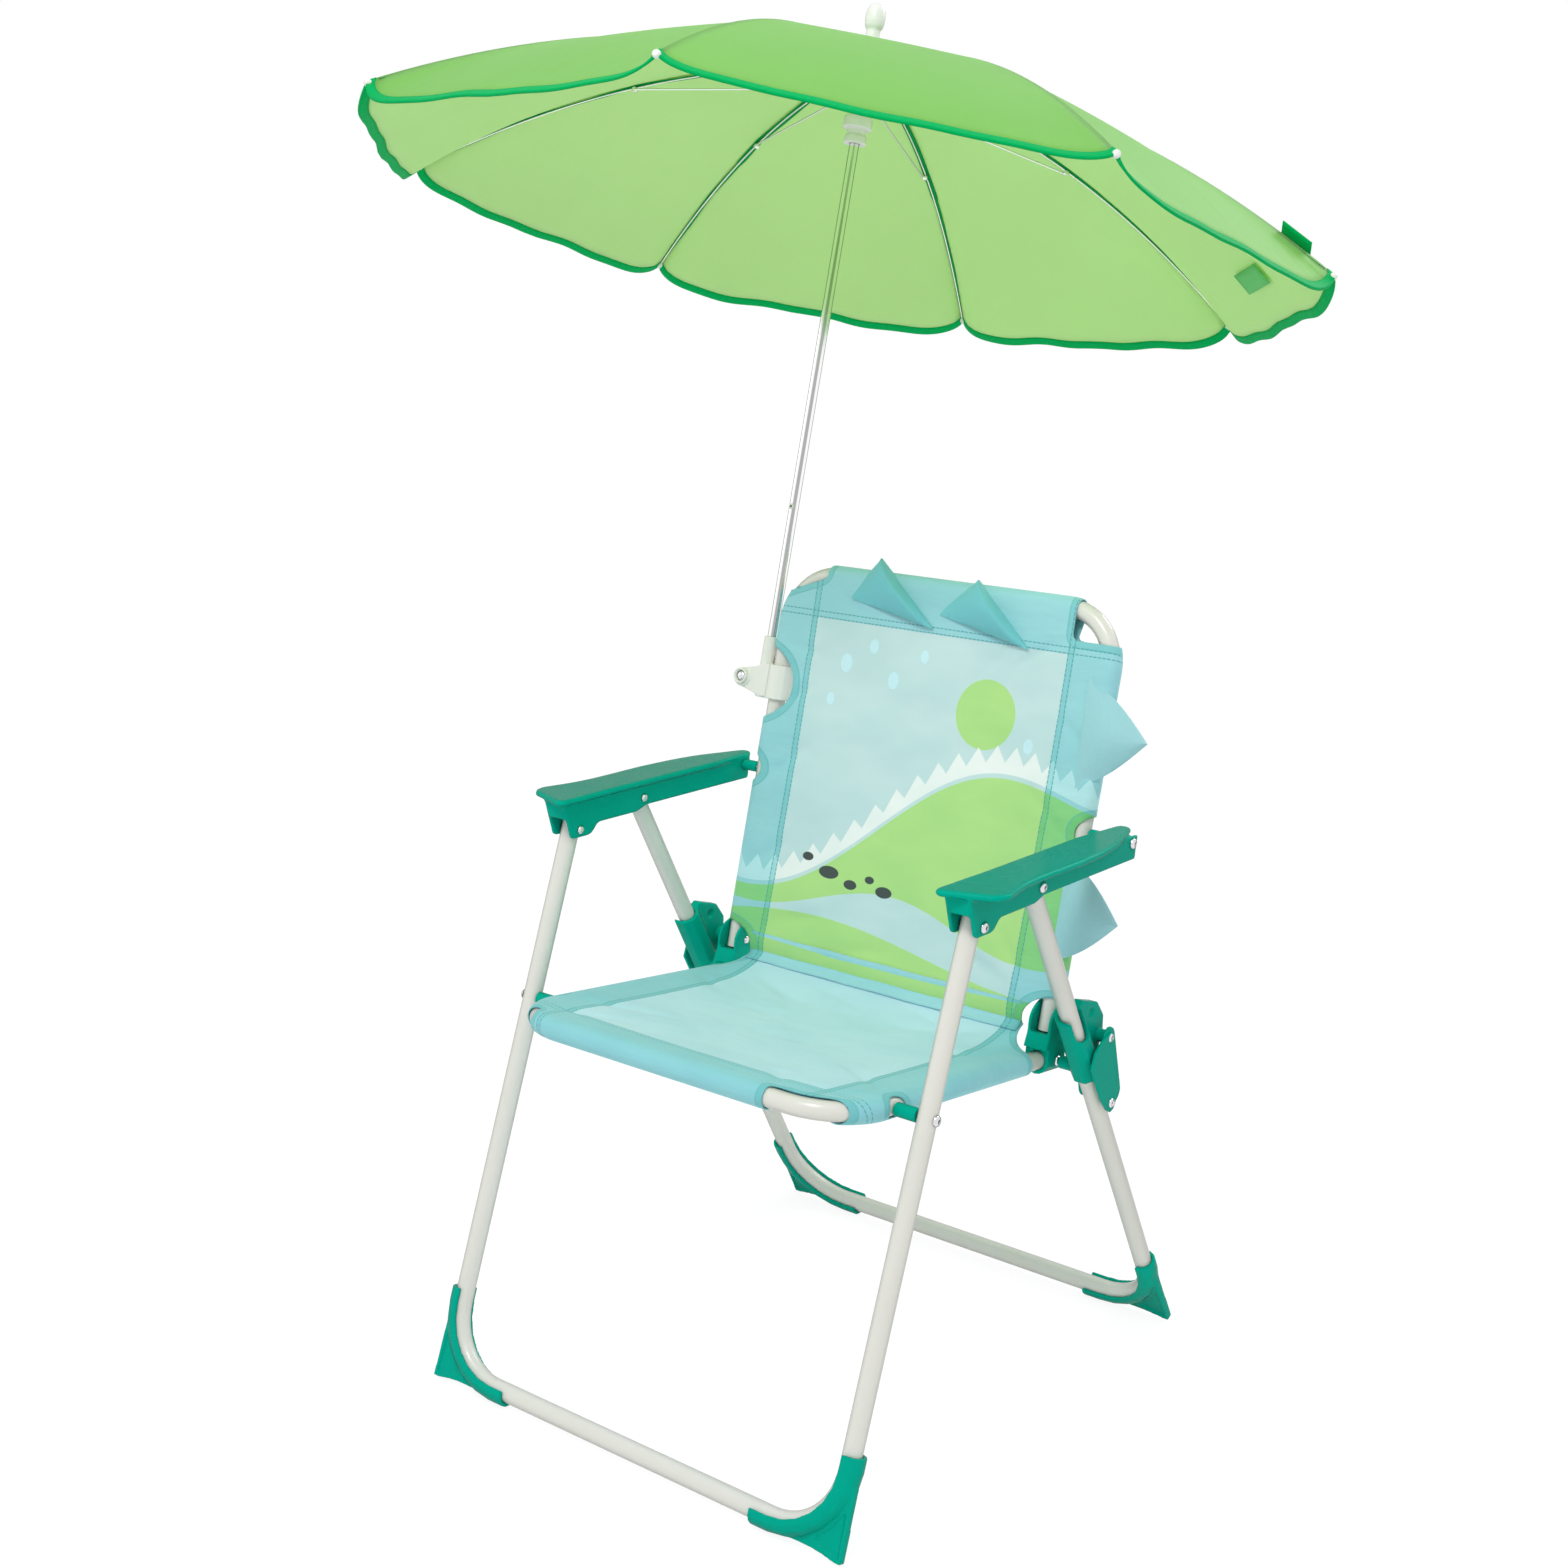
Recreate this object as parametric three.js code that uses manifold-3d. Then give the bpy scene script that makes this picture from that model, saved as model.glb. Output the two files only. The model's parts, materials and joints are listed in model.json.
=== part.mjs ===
// Folding child's chair with a parasol clamped to its back, in millimetres, +Z up.
// The chair faces -Y. Five bent tube frames carry it: front legs, rear legs, seat and back, joined by
// two channel-shaped armrests. A collar slides on each rear leg and turns on the end of the seat tube.
import * as THREE from "three";
import { mergeVertices } from "three/addons/utils/BufferGeometryUtils.js";
import Module from "manifold-3d";

const wasm = await Module();
wasm.setup();

// Tubes and general fits
const tubeDiameter = 14;
const tubeWall = 1.2;
const seatGap = 0.3;
const turnGap = 0.4;
const cutOverrun = 6;
const tubeSideShares = 12;
const boreSideShares = 6;
const fastenerSideShares = 8;
const bendStepShares = 6;

// Frames: spans, bends and pivots
const seatHalfSpan = 148.5;
const legOutsideSeat = 32;
const legHalfSpan = seatHalfSpan + legOutsideSeat;
const barHeight = 10;
const frontBarReach = 216;
const rearBarReach = 221.5;
const footBendRadius = 50;
const seatBendRadius = 45;
const backBendRadius = 42;
const armFrontY = -84.5;
const armFrontZ = 403.6;
const armMidY = -12.5;
const armMidZ = 415.6;
const armRearY = 111;
const armRearZ = 421.8;
const seatPivotZ = 280;
const seatFrontReach = 52.5;
const seatTubeEndY = 84;
const seatTubeEndZ = 256;
const backHingeY = 79;
const backHingeZ = 285;
const backHeight = 303;
const frontLegTop = 8.5;
const rearLegTop = 6.3;
const backTubeTail = 7.5;

// Fasteners
const boltRadius = 2;
const boltHoleRadius = 2.3;
const headRadius = 4;
const headHeight = 2.2;
const tailRadius = 3.4;
const tailHeight = 1.4;

// Armrests
const armWall = 2.8;
const armTopAbovePivot = 27;
const armPlateThickness = 4.8;
const armEdgeRound = 1.4;
const armPlateInner = 13.6;
const armPlateInnerFront = 15;
const armPlateInnerRear = 9;
const armFrontWidth = 30.5;
const armMidWidth = 23.2;
const armRearWidth = 8.5;
const armEndWidth = 3;
const armFrontOverhang = 25.5;
const armFrontSlant = 12;
const armRearOverhang = 13;
const armCornerRound = 7;
const armFrontLobe = 6.2;
const armMidRise = 5.6;
const armWebThickness = 5;
const armWebDrop = 12;
const armBossRadius = 4.6;

// Spacers
const backSpacerRadius = 4.4;
const seatSpacerRadius = 5;

// Foot covers
const footWall = 3;
const footLegReach = 60;
const footBarReach = 64;
const footWrapDegrees = 104;
const footFinThickness = 6;
const footFinRise = 40;
const footTipReach = 10.4;
const footRimWidth = 2.6;
const footRimHeight = 1.4;

// Seat connectors
const socketWall = 3;
const socketLength = 38;
const cheekWall = 2.4;
const cupRadius = 13.4;
const cupRise = 16;
const cupRearWall = 2.4;
const pivotFromTubeEnd = 7;

// Collars on the rear legs and their links
const collarWall = 3;
const collarBelow = 8;
const collarLength = 62;
const collarNotchDepth = 23;
const collarNotchRadius = 7.8;
const collarBossRadius = 5;
const earThickness = 8;
const earReach = 33;
const earTopReach = 16;
const earBossRadius = 5;
const linkWall = 2;
const linkTopReach = 21.4;
const linkTopBelow = 41;
const linkLength = 47.5;
const linkTopRadius = 8;
const linkLowRadius = 9;
const linkGap = 0.4;

// Sling of coated cloth
const clothThickness = 1.2;
const clothGap = 0.4;
const seatSag = 7;
const seatRearRise = 7;
const seatRearCurve = 50;
const seatHemFront = 26;
const seatHemEnd = 166;
const seatSeamGap = 3.5;
const pivotNotch = 9;
const frontHemHalf = 99;
const cornerCut = 40;
const rearCornerCut = 16;
const backHemLow = 38;
const backHemHigh = 260;
const backSeamRise = -8;
const armNotch = 15;
const clampNotchLow = 189;
const clampNotchHigh = 242;
const clampNotchDepth = 24;
const topHemHalf = 104;
const finThickness = 2.4;
const topFinRise = 17;
const topFinBase = 50;
const topFinX = -66;
const topFinPitch = 90;

// Parasol clamp
const clampHeight = 211;
const clampTall = 28;
const clampWall = 3.4;
const poleOffset = 15.2;
const screwOffset = 33.5;
const screwBossRadius = 7.9;
const wingThickness = 13;
const socketTall = 36;
const socketOuterRadius = 6.3;
const clampSlit = 1.4;
const dishRadius = 5.2;
const dishDepth = 1.6;
const nutRadius = 4.2;
const nutHeight = 3.2;

// Parasol pole, runner and hub, measured along the pole from the back hinge
const poleDiameter = 8;
const poleWall = 0.8;
const poleFoot = 199;
const poleTop = 734;
const catchHeight = 354;
const catchHoleRadius = 1.6;
const ribRadius = 1.2;
const ribPivotRadius = 9;
const ribPivotBelowTop = 28;
const ribPivotHeight = poleTop - ribPivotBelowTop;
const ribTipRadius = 392;
const ribTipBelowPivot = 116;
const ribTipHeight = ribPivotHeight - ribTipBelowPivot;
const ribTipBall = 2.6;
const canopyRise = 121.7;
const stretcherRadius = 0.9;
const stretcherOffset = 2.5;
const runnerBelowHub = 14;
const runnerPivotHeight = ribPivotHeight - runnerBelowHub;
const runnerReach = 43;
const runnerFoot = runnerPivotHeight - runnerReach;
const stretcherReach = 200;
const eyeRadius = 2.1;
const eyeThickness = 1.6;
const slotWidth = 3.4;
const notchRingRadius = 13;
const notchRingTall = 6;
const runnerBodyRadius = 7.5;
const runnerFlangeRadius = 12;
const runnerFlangeTall = 9;
const flangeAboveFoot = 12;
const runnerFlangeHeight = runnerFoot + flangeAboveFoot;
const runnerFootRadius = 9.5;
const runnerFootTall = 5.5;
const capFlare = 11;
const capNeck = 5.6;
const capKnob = 8.2;
const capAbovePole = 28;
const capTop = poleTop + capAbovePole;
const capOverPole = 16;
const capBase = poleTop - capOverPole;
const canopyHoleRadius = 5;
const canopyThickness = 1;
const canopyClearance = 1.2;
const hemDroop = 19;
const hemBow = 5;

// Colours
const greenPlastic = { color: 0x00a08a, roughness: 0.38, metalness: 0 };
const creamTube = { color: 0xe3e2d6, roughness: 0.35, metalness: 0.1 };
const creamPlastic = { color: 0xe9e8dd, roughness: 0.45, metalness: 0 };
const steel = { color: 0xc9ccce, roughness: 0.2, metalness: 1 };
const aquaCloth = { color: 0xa8dedd, roughness: 0.8, metalness: 0 };
const limeCloth = { color: 0x96d97c, roughness: 0.85, metalness: 0 };

const tubeRadius = tubeDiameter / 2;
const poleRadius = poleDiameter / 2;
const fullTurn = Math.PI * 2;
const vec = (x, y, z) => new THREE.Vector3(x, y, z);

// Closed solids and booleans

function tidy(geometry) {
  const bare = new THREE.BufferGeometry();
  bare.setAttribute("position", geometry.getAttribute("position").clone());
  if (geometry.index) bare.setIndex(geometry.index.clone());
  return mergeVertices(bare, 1e-4);
}

function signedVolume(geometry) {
  const at = geometry.getAttribute("position");
  const order = geometry.index.array;
  const corner = [vec(0, 0, 0), vec(0, 0, 0), vec(0, 0, 0)];
  let volume = 0;
  for (let i = 0; i < order.length; i += 3) {
    corner.forEach((v, k) => v.fromBufferAttribute(at, order[i + k]));
    volume += corner[0].dot(corner[1].clone().cross(corner[2]));
  }
  return volume / 6;
}

// Gives the geometry back with merged vertices and every face pointing out.
function outward(geometry) {
  const clean = tidy(geometry);
  const order = Array.from(clean.index.array);
  const kept = [];
  for (let i = 0; i < order.length; i += 3) {
    const [a, b, c] = order.slice(i, i + 3);
    if (a !== b && b !== c && c !== a) kept.push(a, b, c);
  }
  clean.setIndex(kept);
  if (signedVolume(clean) < 0) {
    for (let i = 0; i < kept.length; i += 3) [kept[i], kept[i + 1]] = [kept[i + 1], kept[i]];
    clean.setIndex(kept);
  }
  return clean;
}

function solid(geometry) {
  const clean = outward(geometry);
  const vertProperties = new Float32Array(clean.getAttribute("position").array);
  const triVerts = new Uint32Array(clean.index.array);
  return new wasm.Manifold(new wasm.Mesh({ numProp: 3, vertProperties, triVerts }));
}

function geometryOf(manifold) {
  const mesh = manifold.getMesh();
  const geometry = new THREE.BufferGeometry();
  geometry.setAttribute("position", new THREE.BufferAttribute(new Float32Array(mesh.vertProperties), 3));
  geometry.setIndex(Array.from(mesh.triVerts));
  return geometry;
}

const joined = (...shapes) => geometryOf(shapes.map(solid).reduce((a, b) => a.add(b)));

function without(shape, ...cutters) {
  return geometryOf(cutters.map(solid).reduce((a, b) => a.subtract(b), solid(shape)));
}

function mirrored(geometry) {
  return outward(geometry.clone().applyMatrix4(new THREE.Matrix4().makeScale(-1, 1, 1)));
}

// Simple solids

function rodX(x0, x1, y, z, radius, sides = tubeSideShares) {
  const rod = new THREE.CylinderGeometry(radius, radius, Math.abs(x1 - x0), sides);
  return rod.rotateZ(Math.PI / 2).translate((x0 + x1) / 2, y, z);
}

function rodY(y0, y1, x, z, radius, sides = tubeSideShares) {
  return new THREE.CylinderGeometry(radius, radius, Math.abs(y1 - y0), sides).translate(x, (y0 + y1) / 2, z);
}

function rodZ(z0, z1, x, y, radius, sides = tubeSideShares) {
  const rod = new THREE.CylinderGeometry(radius, radius, Math.abs(z1 - z0), sides);
  return rod.rotateX(Math.PI / 2).translate(x, y, (z0 + z1) / 2);
}

function block(x0, x1, y0, y1, z0, z1) {
  const box = new THREE.BoxGeometry(Math.abs(x1 - x0), Math.abs(y1 - y0), Math.abs(z1 - z0));
  return box.translate((x0 + x1) / 2, (y0 + y1) / 2, (z0 + z1) / 2);
}

// A side outline in (y, z), extruded from x0 to x1.
function sidePlate(outline, x0, x1, segments = 6) {
  const shape = outline instanceof THREE.Shape ? outline : new THREE.Shape(outline);
  const plate = new THREE.ExtrudeGeometry(shape, { depth: x1 - x0, bevelEnabled: false, curveSegments: segments });
  const turn = new THREE.Matrix4().makeBasis(vec(0, 1, 0), vec(0, 0, 1), vec(1, 0, 0));
  return plate.applyMatrix4(turn).translate(x0, 0, 0);
}

const yz = (y, z) => new THREE.Vector2(y, z);

// A turned shape about +X: the profile is given as [distance along x, radius] pairs.
function turnedX(profile, sides = tubeSideShares) {
  const points = profile.map(([along, radius]) => new THREE.Vector2(radius, along));
  return outward(new THREE.LatheGeometry(points, sides).rotateZ(-Math.PI / 2));
}

function turnedZ(profile, sides = tubeSideShares) {
  const points = profile.map(([along, radius]) => new THREE.Vector2(radius, along));
  return outward(new THREE.LatheGeometry(points, sides).rotateX(Math.PI / 2));
}

// Skins a row of equal rings of points; the first and last rings are closed by flat caps.
function loft(rings, outline2d) {
  const count = rings[0].length;
  const points = rings.flat();
  const order = [];
  for (let r = 0; r + 1 < rings.length; r += 1) {
    for (let i = 0; i < count; i += 1) {
      const a = r * count + i;
      const b = r * count + ((i + 1) % count);
      order.push(a, b, b + count, a, b + count, a + count);
    }
  }
  const caps = THREE.ShapeUtils.triangulateShape(outline2d, []);
  const last = (rings.length - 1) * count;
  for (const [a, b, c] of caps) {
    order.push(a, c, b);
    order.push(last + a, last + b, last + c);
  }
  const geometry = new THREE.BufferGeometry().setFromPoints(points);
  geometry.setIndex(order);
  return outward(geometry);
}

// Bent tubes: straight runs joined by round bends

class BentPath extends THREE.Curve {
  constructor(corners, radius) {
    super();
    this.stations = [corners[0].clone()];
    for (let i = 1; i + 1 < corners.length; i += 1) {
      const into = corners[i].clone().sub(corners[i - 1]).normalize();
      const away = corners[i + 1].clone().sub(corners[i]).normalize();
      const bend = into.angleTo(away);
      const reach = radius * Math.tan(bend / 2);
      const start = corners[i].clone().addScaledVector(into, -reach);
      const inward = away.clone().addScaledVector(into, -Math.cos(bend)).normalize();
      for (let k = 0; k <= bendStepShares; k += 1) {
        const a = (bend * k) / bendStepShares;
        const along = start.clone().addScaledVector(into, radius * Math.sin(a));
        this.stations.push(along.addScaledVector(inward, radius * (1 - Math.cos(a))));
      }
    }
    this.stations.push(corners[corners.length - 1].clone());
  }

  getPoint(t) {
    const place = Math.min(Math.max(t, 0), 1) * (this.stations.length - 1);
    const index = Math.min(Math.floor(place), this.stations.length - 2);
    return this.stations[index].clone().lerp(this.stations[index + 1], place - index);
  }

  getUtoTmapping(u) {
    return u;
  }

  getSpacedPoints() {
    return this.stations.map((p) => p.clone());
  }
}

function ringPath(radius, sides, target) {
  for (let i = 0; i < sides; i += 1) {
    const a = (fullTurn * i) / sides;
    const x = radius * Math.cos(a);
    const y = radius * Math.sin(a);
    if (i === 0) target.moveTo(x, y);
    else target.lineTo(x, y);
  }
  target.closePath();
  return target;
}

function bentTube(corners, bendRadius) {
  const path = new BentPath(corners, bendRadius);
  const section = ringPath(tubeRadius, tubeSideShares, new THREE.Shape());
  section.holes.push(ringPath(tubeRadius - tubeWall, boreSideShares, new THREE.Path()));
  const steps = path.stations.length - 1;
  return new THREE.ExtrudeGeometry(section, { steps, extrudePath: path, curveSegments: 1 });
}

// A solid rod along the same kind of path, whose flats lie outside the radius.
function bentRod(corners, bendRadius, radius) {
  const path = new BentPath(corners, bendRadius);
  const corner = radius / Math.cos(Math.PI / tubeSideShares);
  const section = ringPath(corner, tubeSideShares, new THREE.Shape());
  const steps = path.stations.length - 1;
  return new THREE.ExtrudeGeometry(section, { steps, extrudePath: path, curveSegments: 1 });
}

// A U of tube in its own frame: pivots on local z = 0, the bar at z = -depth, or above for a positive rise.
function uTube(halfSpan, endZ, barZ, bendRadius) {
  const corners = [vec(-halfSpan, 0, endZ), vec(-halfSpan, 0, barZ), vec(halfSpan, 0, barZ), vec(halfSpan, 0, endZ)];
  return bentTube(corners, bendRadius);
}

// Fasteners: a shank along +X from x0 to x1, a domed head at the far end and a formed tail at the near end

function bolt(x0, x1) {
  const round = 0.55;
  return turnedX([
    [x0 - tailHeight, 0],
    [x0 - tailHeight, tailRadius * round],
    [x0, tailRadius],
    [x0, boltRadius],
    [x1, boltRadius],
    [x1, headRadius],
    [x1 + headHeight * round, headRadius * 0.9],
    [x1 + headHeight, headRadius * round],
    [x1 + headHeight, 0],
  ], fastenerSideShares);
}

// A plain bush along +X with a bore.
function bush(x0, x1, outer, inner) {
  return turnedX([[x0, inner], [x0, outer], [x1, outer], [x1, inner], [x0, inner]], 12);
}

// Member directions, worked out from the pivots

const armFront = yz(armFrontY, armFrontZ);
const armMid = yz(armMidY, armMidZ);
const armRear = yz(armRearY, armRearZ);
const frontBar = yz(-frontBarReach, barHeight);
const rearBar = yz(rearBarReach, barHeight);
const frontLegLength = armFront.distanceTo(frontBar);
const rearLegLength = armMid.distanceTo(rearBar);
const seatPivotShare = (armFrontZ - seatPivotZ) / (armFrontZ - barHeight);
const seatPivot = armFront.clone().lerp(frontBar, seatPivotShare);
const backHinge = yz(backHingeY, backHingeZ);
const seatTubeEnd = yz(seatTubeEndY, seatTubeEndZ);
const seatTubeLength = seatPivot.distanceTo(seatTubeEnd);

// Turn about X that stands local +Z along the member that runs from low to high.
const leanOf = (low, high) => -Math.atan2(high.x - low.x, high.y - low.y);
const frontLean = leanOf(frontBar, armFront);
const rearLean = leanOf(rearBar, armMid);
const backLean = leanOf(backHinge, armRear);
const seatTilt = Math.atan2(seatTubeEnd.y - seatPivot.y, seatTubeEnd.x - seatPivot.x);

// The point (y, z) in a member's own frame.
function local(point, origin, turn) {
  return point.clone().sub(origin).rotateAround(yz(0, 0), -turn);
}

const armRearOnBack = local(armRear, backHinge, backLean).y;
const backHingeOnSeat = local(backHinge, seatPivot, seatTilt);
const collarPivotOnSeat = seatTubeLength - pivotFromTubeEnd;
const collarPivot = yz(collarPivotOnSeat, 0).rotateAround(yz(0, 0), seatTilt).add(seatPivot);
const collarPivotOnLeg = local(collarPivot, armMid, rearLean);

// Armrests

const channelHalf = tubeRadius + 2 * seatGap;
const armOuter = channelHalf + armWall;
const armLength = armRearY - armFrontY;
const armUnderside = armTopAbovePivot - armPlateThickness;

function armPlate() {
  const shape = new THREE.Shape();
  const front = -armFrontOverhang;
  const rear = armLength + armRearOverhang;
  const r = armCornerRound;
  shape.moveTo(-armPlateInnerFront, front + r);
  shape.quadraticCurveTo(-armPlateInnerFront, front, -armPlateInnerFront + r, front);
  shape.lineTo(armFrontWidth - 2 * r, front + armFrontSlant * 0.8);
  shape.quadraticCurveTo(armFrontWidth, front + armFrontSlant, armFrontWidth, front + armFrontSlant + 2 * r);
  shape.splineThru([
    yz(armMidWidth, armLength * 0.2),
    yz(armMidWidth, armLength * 0.55),
    yz(armMidWidth * 0.8, armLength * 0.8),
    yz(armRearWidth, armLength * 0.97),
    yz(armEndWidth, rear - r * 0.4),
  ]);
  shape.quadraticCurveTo(0, rear, -r * 0.4, rear);
  shape.quadraticCurveTo(-armPlateInnerRear, rear, -armPlateInnerRear, rear - r);
  shape.lineTo(-armPlateInner, armLength * 0.8);
  shape.lineTo(-armPlateInner, armLength * 0.2);
  shape.closePath();
  const plate = new THREE.ExtrudeGeometry(shape, {
    depth: armPlateThickness - 2 * armEdgeRound,
    bevelEnabled: true,
    bevelThickness: armEdgeRound,
    bevelSize: armEdgeRound,
    bevelOffset: -armEdgeRound,
    bevelSegments: 1,
    curveSegments: 3,
  });
  return plate.translate(0, 0, armUnderside + armEdgeRound);
}

function armWallOutline() {
  const top = armUnderside + armEdgeRound;
  const mid = armMidY - armFrontY;
  const front = -armFrontOverhang + armCornerRound;
  const rise = armMidRise;
  const shape = new THREE.Shape();
  shape.moveTo(front, top);
  shape.lineTo(-boltRadius * 5, -armFrontLobe + boltRadius);
  shape.quadraticCurveTo(-boltRadius * 4, -armFrontLobe, -boltRadius * 2, -armFrontLobe);
  shape.lineTo(boltRadius * 4, -armFrontLobe);
  shape.quadraticCurveTo(boltRadius * 7, -armFrontLobe, boltRadius * 9, 0);
  shape.quadraticCurveTo(boltRadius * 10, boltRadius, boltRadius * 12, boltRadius);
  shape.lineTo(mid - headRadius * 2, boltRadius);
  shape.lineTo(mid + headRadius, rise);
  shape.lineTo(armLength + armRearOverhang * 0.4, rise);
  shape.lineTo(armLength + armRearOverhang * 0.6, top);
  shape.closePath();
  return shape;
}

function armrest() {
  const outline = armWallOutline();
  const walls = [-1, 1].map((side) => {
    const inner = side * channelHalf;
    const outer = side * armOuter;
    return sidePlate(outline, Math.min(inner, outer), Math.max(inner, outer), 5);
  });
  const webFront = -armFrontOverhang + armCornerRound + armWebThickness * 0.4;
  const webTop = armUnderside + armEdgeRound;
  const web = block(-channelHalf - seatGap, channelHalf + seatGap, webFront, webFront + armWebThickness,
    armUnderside - armWebDrop, webTop);
  const rearZ = armRearZ - armFrontZ;
  const boss = rodX(-channelHalf - seatGap, channelHalf + seatGap, armLength, rearZ, armBossRadius, 12);
  const body = joined(armPlate(), ...walls, web, boss);
  const reach = armOuter + cutOverrun;
  const holes = [[0, 0], [armMidY - armFrontY, armMidZ - armFrontZ], [armLength, rearZ]];
  return without(body, ...holes.map(([y, z]) => rodX(-reach, reach, y, z, boltHoleRadius, 12)));
}

// Foot covers: a half shell round the outside of the bend, with a gusset fin down to the floor

function footCover(bendRadius) {
  const inner = tubeRadius + seatGap;
  const outer = inner + footWall;
  const path = new BentPath([vec(0, 0, footLegReach), vec(0, 0, 0), vec(-footBarReach, 0, 0)], bendRadius);
  const wrap = THREE.MathUtils.degToRad(footWrapDegrees);
  const arc = 8;
  const section = [];
  for (let i = 0; i <= arc; i += 1) section.push([outer, -wrap + (2 * wrap * i) / arc]);
  for (let i = arc; i >= 0; i -= 1) section.push([inner, -wrap + (2 * wrap * i) / arc]);
  const steps = path.stations.length - 1;
  const rings = path.stations.map((place, index) => {
    const tangent = path.getTangent(index / steps);
    const out = vec(-tangent.z, 0, tangent.x);
    return section.map(([r, a]) => {
      const p = place.clone().addScaledVector(out, r * Math.cos(a));
      p.y += r * Math.sin(a);
      return p;
    });
  });
  return loft(rings, section.map(([r, a]) => yz(r * Math.cos(a), r * Math.sin(a))));
}

// The outline of the gusset fin, or with an inset the outline of the pocket sunk in each of its faces.
function footFin(bendRadius, drop, inset) {
  const inner = tubeRadius + seatGap + footWall * 0.5;
  const arcRadius = bendRadius + inner + inset;
  const rise = inset > 0 ? footFinRise * 0.6 : footFinRise;
  const lowX = inset > 0 ? -bendRadius * 0.24 : -bendRadius * 0.86;
  const tipZ = inset - drop;
  const onArc = (x) => bendRadius - Math.sqrt(arcRadius ** 2 - (x + bendRadius) ** 2);
  const shape = new THREE.Shape();
  const upAngle = Math.asin((rise - bendRadius) / arcRadius);
  const lowAngle = Math.atan2(onArc(lowX) - bendRadius, lowX + bendRadius);
  shape.moveTo(inner + footRimWidth * 0.1 - inset, rise);
  shape.lineTo(footTipReach - inset, tipZ);
  shape.lineTo(footTipReach - footRimWidth * 2, tipZ);
  if (inset > 0) shape.lineTo(lowX, inset - inner * 0.5);
  else shape.quadraticCurveTo(lowX * 0.45, -inner * 0.5, lowX, onArc(lowX) - seatGap);
  shape.absarc(-bendRadius, bendRadius, arcRadius, lowAngle, upAngle, false);
  shape.closePath();
  const fin = new THREE.ExtrudeGeometry(shape, { depth: footFinThickness, bevelEnabled: false, curveSegments: 5 });
  return fin.rotateX(Math.PI / 2).translate(0, footFinThickness / 2, 0);
}

// side is 1 for the right foot; drop is the run from the bar axis to the floor along the leg.
function foot(side, lean, bendRadius) {
  const drop = (barHeight - Math.abs(Math.sin(lean)) * footFinThickness * 0.5) / Math.cos(lean);
  const cover = footCover(bendRadius);
  const fin = footFin(bendRadius, drop + seatGap, 0);
  const recess = footFin(bendRadius, drop + seatGap, footRimWidth);
  const depth = footFinThickness / 2 - footRimHeight;
  const pocket = (sign) => recess.clone().translate(0, sign * (depth + footFinThickness / 2), 0);
  const ribbed = without(fin, pocket(1), pocket(-1));
  const floor = block(-legHalfSpan, legHalfSpan, -legHalfSpan, legHalfSpan, -legHalfSpan, 0);
  floor.translate(0, 0, -barHeight).rotateX(-lean);
  const body = without(joined(cover, ribbed), floor);
  return side > 0 ? body : mirrored(body);
}

// Seat connector, in the seat frame with x = 0 at the tube's plane and the collar side at +x

function seatConnector() {
  const inner = tubeRadius + seatGap;
  const outer = inner + socketWall;
  const start = seatTubeLength - socketLength + tubeRadius;
  const end = seatTubeLength + tubeRadius * 0.6;
  const socket = rodY(start, end, 0, 0, outer, 16);
  const cheekIn = tubeRadius + turnGap;
  const cheekOut = cheekIn + cheekWall;
  const cy = backHingeOnSeat.x;
  const cz = backHingeOnSeat.y;
  const up = backLean - seatTilt;
  const along = (reach, side) => yz(cy - Math.sin(up) * reach + Math.cos(up) * side,
    cz + Math.cos(up) * reach + Math.sin(up) * side);
  const wellRadius = Math.hypot(backTubeTail, tubeRadius) + turnGap;
  const wallFoot = Math.sqrt(wellRadius ** 2 - cheekIn ** 2);
  const cheek = new THREE.Shape();
  cheek.moveTo(start + socketWall, 0);
  cheek.lineTo(cy - cupRadius, cz - cupRadius * 0.6);
  cheek.lineTo(cy - cupRadius, cz);
  const rim = along(cupRise * 0.7, -cheekIn);
  cheek.quadraticCurveTo(cy - cupRadius, cz + cupRadius * 0.5, rim.x, rim.y);
  const top = along(cupRise, cheekIn + cupRearWall);
  const shoulder = along(wallFoot, wellRadius + cupRearWall);
  const topFront = along(cupRise, 0);
  cheek.lineTo(topFront.x, topFront.y);
  cheek.lineTo(top.x, top.y);
  cheek.lineTo(shoulder.x, shoulder.y);
  const low = along(-cupRadius, wellRadius + cupRearWall);
  cheek.lineTo(low.x, low.y);
  cheek.lineTo(end, 0);
  cheek.closePath();
  const cup = sidePlate(cheek, -cheekOut, cheekOut, 5);
  const well = new THREE.Shape();
  const wall = along(cupRise * 2, cheekIn);
  const wallLow = along(wallFoot, cheekIn);
  well.moveTo(wall.x, wall.y);
  well.lineTo(wallLow.x, wallLow.y);
  const frontAngle = Math.asin(cheekIn / wellRadius) - Math.PI;
  well.absarc(cy, cz, wellRadius, Math.atan2(wallLow.y - cz, wallLow.x - cy), frontAngle, true);
  well.lineTo(cy - cupRadius * 3, cz - cheekIn);
  well.lineTo(cy - cupRadius * 3, wall.y);
  well.closePath();
  const room = sidePlate(well, -cheekIn, cheekIn, 6);
  const bore = rodY(start - cutOverrun, seatTubeLength + seatGap, 0, 0, inner, 16);
  const reach = cheekOut + cutOverrun;
  return without(joined(socket, cup), room, bore,
    rodX(-reach, reach, cy, cz, boltHoleRadius, 12),
    rodX(-reach - outer, reach + outer, collarPivotOnSeat, 0, boltHoleRadius, 12));
}

// Collar on the rear leg, in the leg frame: z up the leg, y to the rear, x = 0 on the leg axis

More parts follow.
